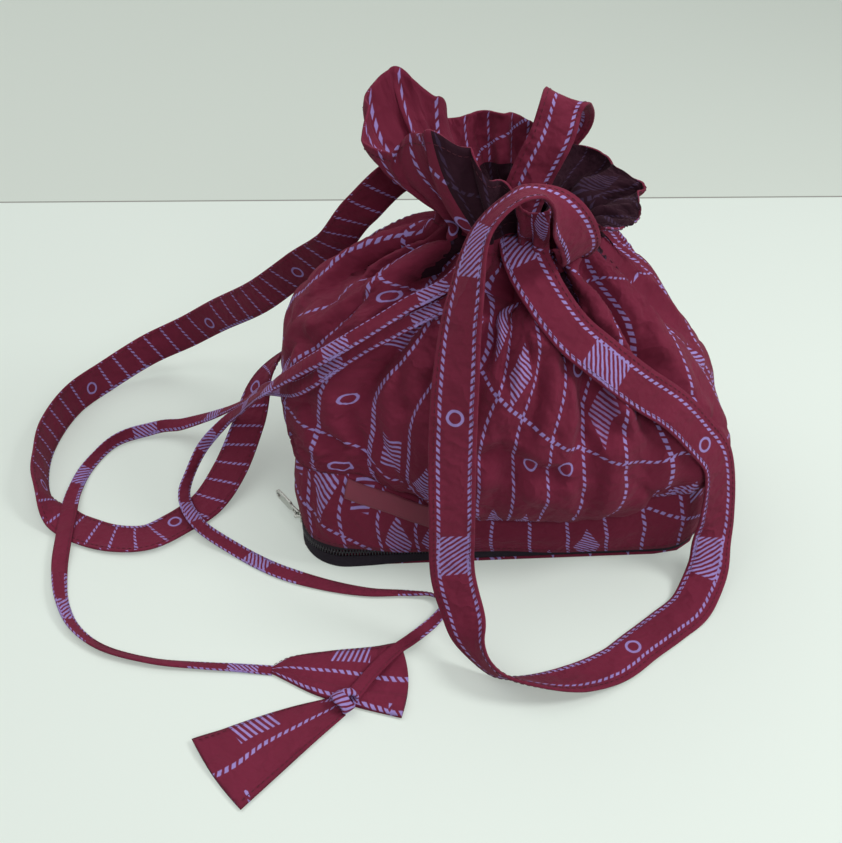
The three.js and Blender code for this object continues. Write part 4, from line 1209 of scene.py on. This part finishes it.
def turn_out_edges(piece, outside, rim_start):
    """Faces the frill's inside with the print at the back, leaving the near-black reverse, painted shade, on the
    rest of its inside, and shows that reverse, painted shade too, where its rim turns back.
    outside counts the outer faces, and rim_start is the casing's height on the cut."""
    cut = np.zeros(len(piece.data.loops) * 2)
    piece.data.uv_layers["cut"].data.foreach_get("uv", cut)
    for face in piece.data.polygons:
        first, last = face.loop_start * 2, (face.loop_start + face.loop_total) * 2
        turn = cut[first:last:2].mean() / MM / CUT_WIDTH * 360
        above = cut[first + 1:last:2].mean() / MM - rim_start
        if face.material_index == 1 and above > FACING_ABOVE and FACING_EDGE[0] < turn < FACING_EDGE[1]:
            face.material_index = 0
        elif face.index < outside and above > TURNED_ABOVE and TURNED_EDGE[0] < turn < TURNED_EDGE[1]:
            face.material_index = 1


def gathered_body():
    places = cloth_places()
    along = running(np.linalg.norm(np.diff(places, axis=0), axis=2).mean(1))
    across = np.linspace(0, CUT_WIDTH, BODY_COLUMNS + 1)
    piece = lofted("gathered_body", places, np.stack(np.meshgrid(across, along), axis=2), capped=False)
    heights = np.array([v.co.z for v in piece.data.vertices]) / MM
    angle = np.array([math.atan2(v.co.y, v.co.x) for v in piece.data.vertices])
    sewn_low = 1 - ramp(heights - seam_height(angle), 2, 10)
    gathered = ramp(heights - NECK_HEIGHT, -40, -10)
    relax(piece, np.maximum(sewn_low, gathered))
    press_under(piece, [front_strap, rear_strap, left_strand, right_strand])
    # The inner shell wears the near-black reverse, painted shade for the bag's inside and the frill's shaded inner
    # faces
    wear(piece, body_cotton, reverse_cotton_painted_shade)
    outside = len(piece.data.polygons)
    apply_modifier(piece, "SOLIDIFY", thickness=CLOTH * MM, offset=-1, material_offset=1, material_offset_rim=0)
    turn_out_edges(piece, outside, along[BODY_ROWS])
    settle(piece, "bag", "bag_body", slot="printed_cotton")
    rows = []
    for row in (-3, -FRILL_ROWS + 4, -FRILL_ROWS - 1):
        line, out = on_cloth(piece, np.concatenate([places[row], places[row][:1]]), 0.1)
        rows.append(stitches("row", line, out))
    sewn = joined("body_stitches", rows)
    sew(sewn)


gathered_body()


# Base: band, label, zip, panel and gusset

def base_run(name, angles, heights, insets, thickness, ring_closed=False):
    """Upright cloth round the base: heights and insets give each row."""
    rings = np.array([round_base(angles, h, i) for h, i in zip(heights, insets)])
    piece = lofted(name, rings, cut_layout(rings, ring_closed), ring_closed, capped=False)
    apply_modifier(piece, "SOLIDIFY", thickness=thickness * MM, offset=-1 if ring_closed else 0)
    return piece


def dent(angle, middle, width):
    """1 at an angle in degrees, fading to both sides of it."""
    return np.exp(-((np.degrees(angle) - middle) / width) ** 2)


def band_low(angle):
    return BAND_BOTTOM - eased(SAG, angle)[..., 0]


def band_out(angle, z):
    """How far the band stands out from the base at a height."""
    low = band_low(angle)
    share = (z - low) / (seam_height(angle) - low)
    cover = (ZIP_STANDOFF + BAND_THICKNESS) * eased(SAG, angle)[..., 1]
    return BAND_BULGE * (1 - np.abs(2 * share - 1)) + cover * (1 - share)


def lower_band():
    angles = np.linspace(0, TURN, 300, endpoint=False)
    low, seam = band_low(angles), seam_height(angles)
    ripple = 0.5 * np.sin(31 * angles + np.sin(5 * angles)) + 0.4 * np.sin(53 * angles)
    crease = sum(depth * dent(angles, *at) for depth, at in BAND_CREASES)
    heights, insets = [], []
    for share in np.linspace(0, 1, 14):
        heights.append(low + (seam - low) * share)
        insets.append((crease - ripple * 0.6) * math.sin(math.pi * share) - band_out(angles, heights[-1]))
    piece = base_run("band", angles, heights, insets, BAND_THICKNESS, ring_closed=True)
    wear(piece, band_cotton)
    settle(piece, "bag", "lower_band", slot="printed_cotton")
    closing = np.append(angles, TURN)
    height = band_low(closing) + STITCH_INSET
    line = round_base(closing, height, -band_out(closing, height) - 0.1)
    sew(stitches("band_stitches", line, unit(line * [1, 1, 0])))


def woven_label():
    left = LABEL_INSET - HALF_WIDTH
    start, end = (math.atan2(-HALF_DEPTH, x) for x in (left, left + LABEL_LENGTH))
    angles = np.linspace(start, end, 60)
    places = round_base(angles, np.zeros_like(angles), 0)[:, 0]
    ends = seam_height(angles[[0, -1]]) - LABEL_DROP
    top = np.interp(places, places[[0, -1]], ends)
    lift = FIT + LABEL_THICKNESS / 2
    heights, insets = [], []
    for share in np.linspace(0, 1, 12):
        heights.append(top - LABEL_HEIGHT * (1 - share))
        insets.append(-band_out(angles, heights[-1]) - lift - 0.25 * math.sin(math.pi * share))
    piece = base_run("bare_label", angles, heights, insets, LABEL_THICKNESS)
    wear(piece, label_satin)
    settle(piece, "bag", "label", slot="woven_label")


def zip_angles(count):
    """Angles of the zip's run, evenly apart along it, from the left side round the front to the right."""
    end = math.atan2(ZIP_END, HALF_WIDTH)
    fine = np.linspace(math.pi - end, TURN + end, 4000)
    along = way_along(round_base(fine, np.zeros_like(fine), 0))
    return np.interp(np.linspace(0, along[-1], count), along, fine), along[-1]


def zip_tape(name, node, low, high):
    """One of the zip's tapes, pushed out at the front left corner, where the lower one also hangs lower."""
    angles, length = zip_angles(240)
    way = np.linspace(0, length, len(angles))
    wave = 0.25 * np.sin(way / 7) + 0.2 * np.sin(way / 3.1)
    loose = dent(angles, *LOOSE_AT)
    lower = low < ZIP_MIDDLE
    heights, insets = [], []
    for share in np.linspace(0, 1, 7):
        outer = 1 - share if lower else share
        drop = LOOSE_DROP * loose * (1 - share) if lower else 0
        heights.append(low + (high - low) * share - drop)
        out = loose * (LOOSE_OUT[0] + (LOOSE_OUT[1] - LOOSE_OUT[0]) * outer)
        insets.append(ZIP_INSET + wave * math.sin(math.pi * share) - out)
    piece = base_run(name, angles, heights, insets, TAPE_THICKNESS)
    wear(piece, tape_weave)
    settle(piece, "bag", node, slot="zip_tape")


def tooth_shape(side):
    """One tooth of the coil in millimetres, with a wider head towards the other row, and its faces."""
    deselect()
    bpy.ops.mesh.primitive_cylinder_add(vertices=8, radius=0.5, depth=1)
    tooth = bpy.context.object
    bpy.ops.object.mode_set(mode="EDIT")
    bpy.ops.mesh.select_all(action="SELECT")
    bpy.ops.mesh.bevel(offset=TOOTH_BEVEL, segments=1, affect="EDGES")
    bpy.ops.object.mode_set(mode="OBJECT")
    shape = np.array([v.co for v in tooth.data.vertices])
    faces = [list(p.vertices) for p in tooth.data.polygons]
    bpy.data.objects.remove(tooth)
    shape[:, 0] *= 1 + TOOTH_HEAD * np.clip(-side * shape[:, 2] * 2, 0, 1)
    return shape * TOOTH_SIZE, faces


def zip_teeth(name, node, side):
    """One row of the coil: a tooth modelled once, and copied along the zip."""
    _, length = zip_angles(2)
    angles, _ = zip_angles(int(length / TOOTH_PITCH) * 2 + 1)
    places = round_base(angles, np.zeros_like(angles), ZIP_INSET)
    forward = unit(np.gradient(places, axis=0))
    local, faces = tooth_shape(side)
    points, polygons = [], []
    for index in range(0 if side > 0 else 1, len(angles), 2):
        ahead = forward[index]
        middle = places[index] + UP * (ZIP_MIDDLE + side * TOOTH_RISE)
        polygons += [[v + len(points) for v in face] for face in faces]
        points += (middle + local @ np.array([ahead, np.cross(UP, ahead), UP])).tolist()
    piece = mesh_piece(name, np.array(points), polygons)
    wear(piece, coil_black)
    settle(piece, "bag", node, slot="zip_coil")


def finer_copy(name, node, body, material, slot, bevel, segments=2):
    """A CAD node's own shape with its edges softened."""
    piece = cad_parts[node].copy()
    piece.data = piece.data.copy()
    for key in list(piece.keys()):
        del piece[key]
    piece.parent = None
    piece.name = piece.data.name = name
    bpy.context.scene.collection.objects.link(piece)
    deselect()
    piece.select_set(True)
    bpy.context.view_layer.objects.active = piece
    bpy.ops.object.mode_set(mode="EDIT")
    bpy.ops.mesh.select_all(action="SELECT")
    bpy.ops.mesh.remove_doubles(threshold=1e-6)
    bpy.ops.mesh.dissolve_limited(angle_limit=SAME_PLANE)
    bpy.ops.object.mode_set(mode="OBJECT")
    apply_modifier(piece, "BEVEL", width=bevel * MM, segments=segments, limit_method="ANGLE",
                   angle_limit=SHARP_EDGE)
    bpy.ops.object.shade_smooth_by_angle(angle=SMOOTH_BEND)
    layer = piece.data.uv_layers.get("cut") or piece.data.uv_layers.new(name="cut")
    for loop in piece.data.loops:
        layer.data[loop.index].uv = piece.data.vertices[loop.vertex_index].co.xy
    wear(piece, material)
    settle(piece, body, node, slot=slot)


def rear_gusset():
    low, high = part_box("rear_gusset")
    end = math.atan2(ZIP_END + 2 * FIT + STOP_LENGTH, HALF_WIDTH - FIT - BAND_THICKNESS)
    angles = np.linspace(end, math.pi - end, 160)
    ripple = 0.3 * np.sin(41 * angles) + 0.3 * np.sin(67 * angles)
    shares = np.linspace(0, 1, 8)
    heights = [low.z / MM + (high.z - low.z) / MM * s for s in shares]
    insets = [GUSSET_INSET - (GUSSET_BULGE + ripple) * math.sin(math.pi * s) for s in shares]
    piece = base_run("gusset", angles, heights, insets, BAND_THICKNESS)
    wear(piece, band_cotton)
    settle(piece, "bag", "rear_gusset", slot="printed_cotton")


lower_band()
woven_label()
zip_tape("tape_lower", "zip_tape_lower", *LOWER_TAPE)
zip_tape("tape_upper", "zip_tape_upper", *UPPER_TAPE)
zip_teeth("teeth_lower", "zip_coil_lower", -1)
zip_teeth("teeth_upper", "zip_coil_upper", 1)
rear_gusset()
finer_copy("panel_under", "base_panel", "bag", band_cotton, "printed_cotton", 0.9, 3)
# The inner floor wears the near-black reverse, painted shade
finer_copy("floor_inside", "inner_floor", "bag", reverse_cotton_painted_shade, "lining", 0.5)
finer_copy("slider", "zip_slider", "slider", silver, "zip_metal", 0.22)
finer_copy("pull_tab", "zip_pull", "pull", silver, "zip_metal", 0.3, 3)
finer_copy("stop_left", "zip_stop_left", "bag", silver, "zip_metal", 0.4)
finer_copy("stop_right", "zip_stop_right", "bag", silver, "zip_metal", 0.4)


# Floor and light

FLOOR_TONE = tint(233, 243, 235)
FAR_TONE = tint(218, 227, 218)
LINE_TONE = tint(150, 150, 144)
# Where the floor meets the far tone, in millimetres behind the bag, and how that line slants
FAR_LINE = 500
FAR_SLOPE = 0.037
# Shares of the floor's tone: what glows instead of being lit, how brightly, and what bounces back on the bag
FLOOR_GLOW = 0.31
GLOW_LEVEL = 0.3
FLOOR_BOUNCE = 0.6
# Light of the room all round the bag, and how brightly its far tone is seen
ROOM_LIGHT = {"Color": (1, 1, 0.985, 1), "Strength": 0.17}
BACKDROP_LEVEL = 0.8
# Lamps: name, place and size in metres, and watts
LAMPS = [("ceiling", (-0.9, 0.8, 2.4), 4, 43),
         ("key", (0.95, -0.3, 1.2), 0.5, 9.6), ("fill", (0.2, -1.3, 1.0), 0.8, 6.5)]
LAMPS_LOOK_AT = (0, 0, 0.1)


def pale_floor():
    deselect()
    bpy.ops.mesh.primitive_plane_add(size=9)
    floor = bpy.context.object
    floor.name = "floor"
    paint = new_finish("floor_paint", {"Roughness": 0.7, "Specular IOR Level": 0.15, "Emission Strength": 1})
    side, back = paint.level_parts(paint.object_spot())
    beyond = (back + side * FAR_SLOPE) / MM
    tone = paint.blend(beyond.below(FAR_LINE, 2), FAR_TONE, FLOOR_TONE)
    seen = paint.blend((beyond - FAR_LINE).within(1.5, 1), tone, LINE_TONE)
    looked_at = paint.looked_at()
    lit = looked_at * (1 - FLOOR_GLOW) + FLOOR_BOUNCE * (1 - looked_at)
    paint.feed("Base Color", paint.blend(lit, BLACK, seen))
    paint.feed("Emission Color", paint.blend(looked_at * GLOW_LEVEL, BLACK, seen))
    wear(floor, paint.owner)


def studio_light():
    room = Finish(bpy.data.worlds.new("soft_room"), ROOM_LIGHT, "Background")
    light = Value(room, room.shader.outputs[0])
    backdrop = room.node("ShaderNodeBackground", {}, {"Color": FAR_TONE, "Strength": BACKDROP_LEVEL})
    shown = room.node("ShaderNodeMixShader", {}, {0: room.looked_at(), 1: light, 2: backdrop})
    room.put(room.tree.nodes["World Output"].inputs["Surface"], shown)
    bpy.context.scene.world = room.owner
    for name, place, size, power in LAMPS:
        data = bpy.data.lights.new(name, "AREA")
        data.shape = "DISK"
        data.size = size
        data.energy = power
        lamp = bpy.data.objects.new(name, data)
        bpy.context.scene.collection.objects.link(lamp)
        lamp.location = place
        lamp.rotation_euler = (Vector(LAMPS_LOOK_AT) - Vector(place)).to_track_quat("-Z", "Y").to_euler()


pale_floor()
studio_light()
bpy.context.scene.view_settings.view_transform = "Standard"
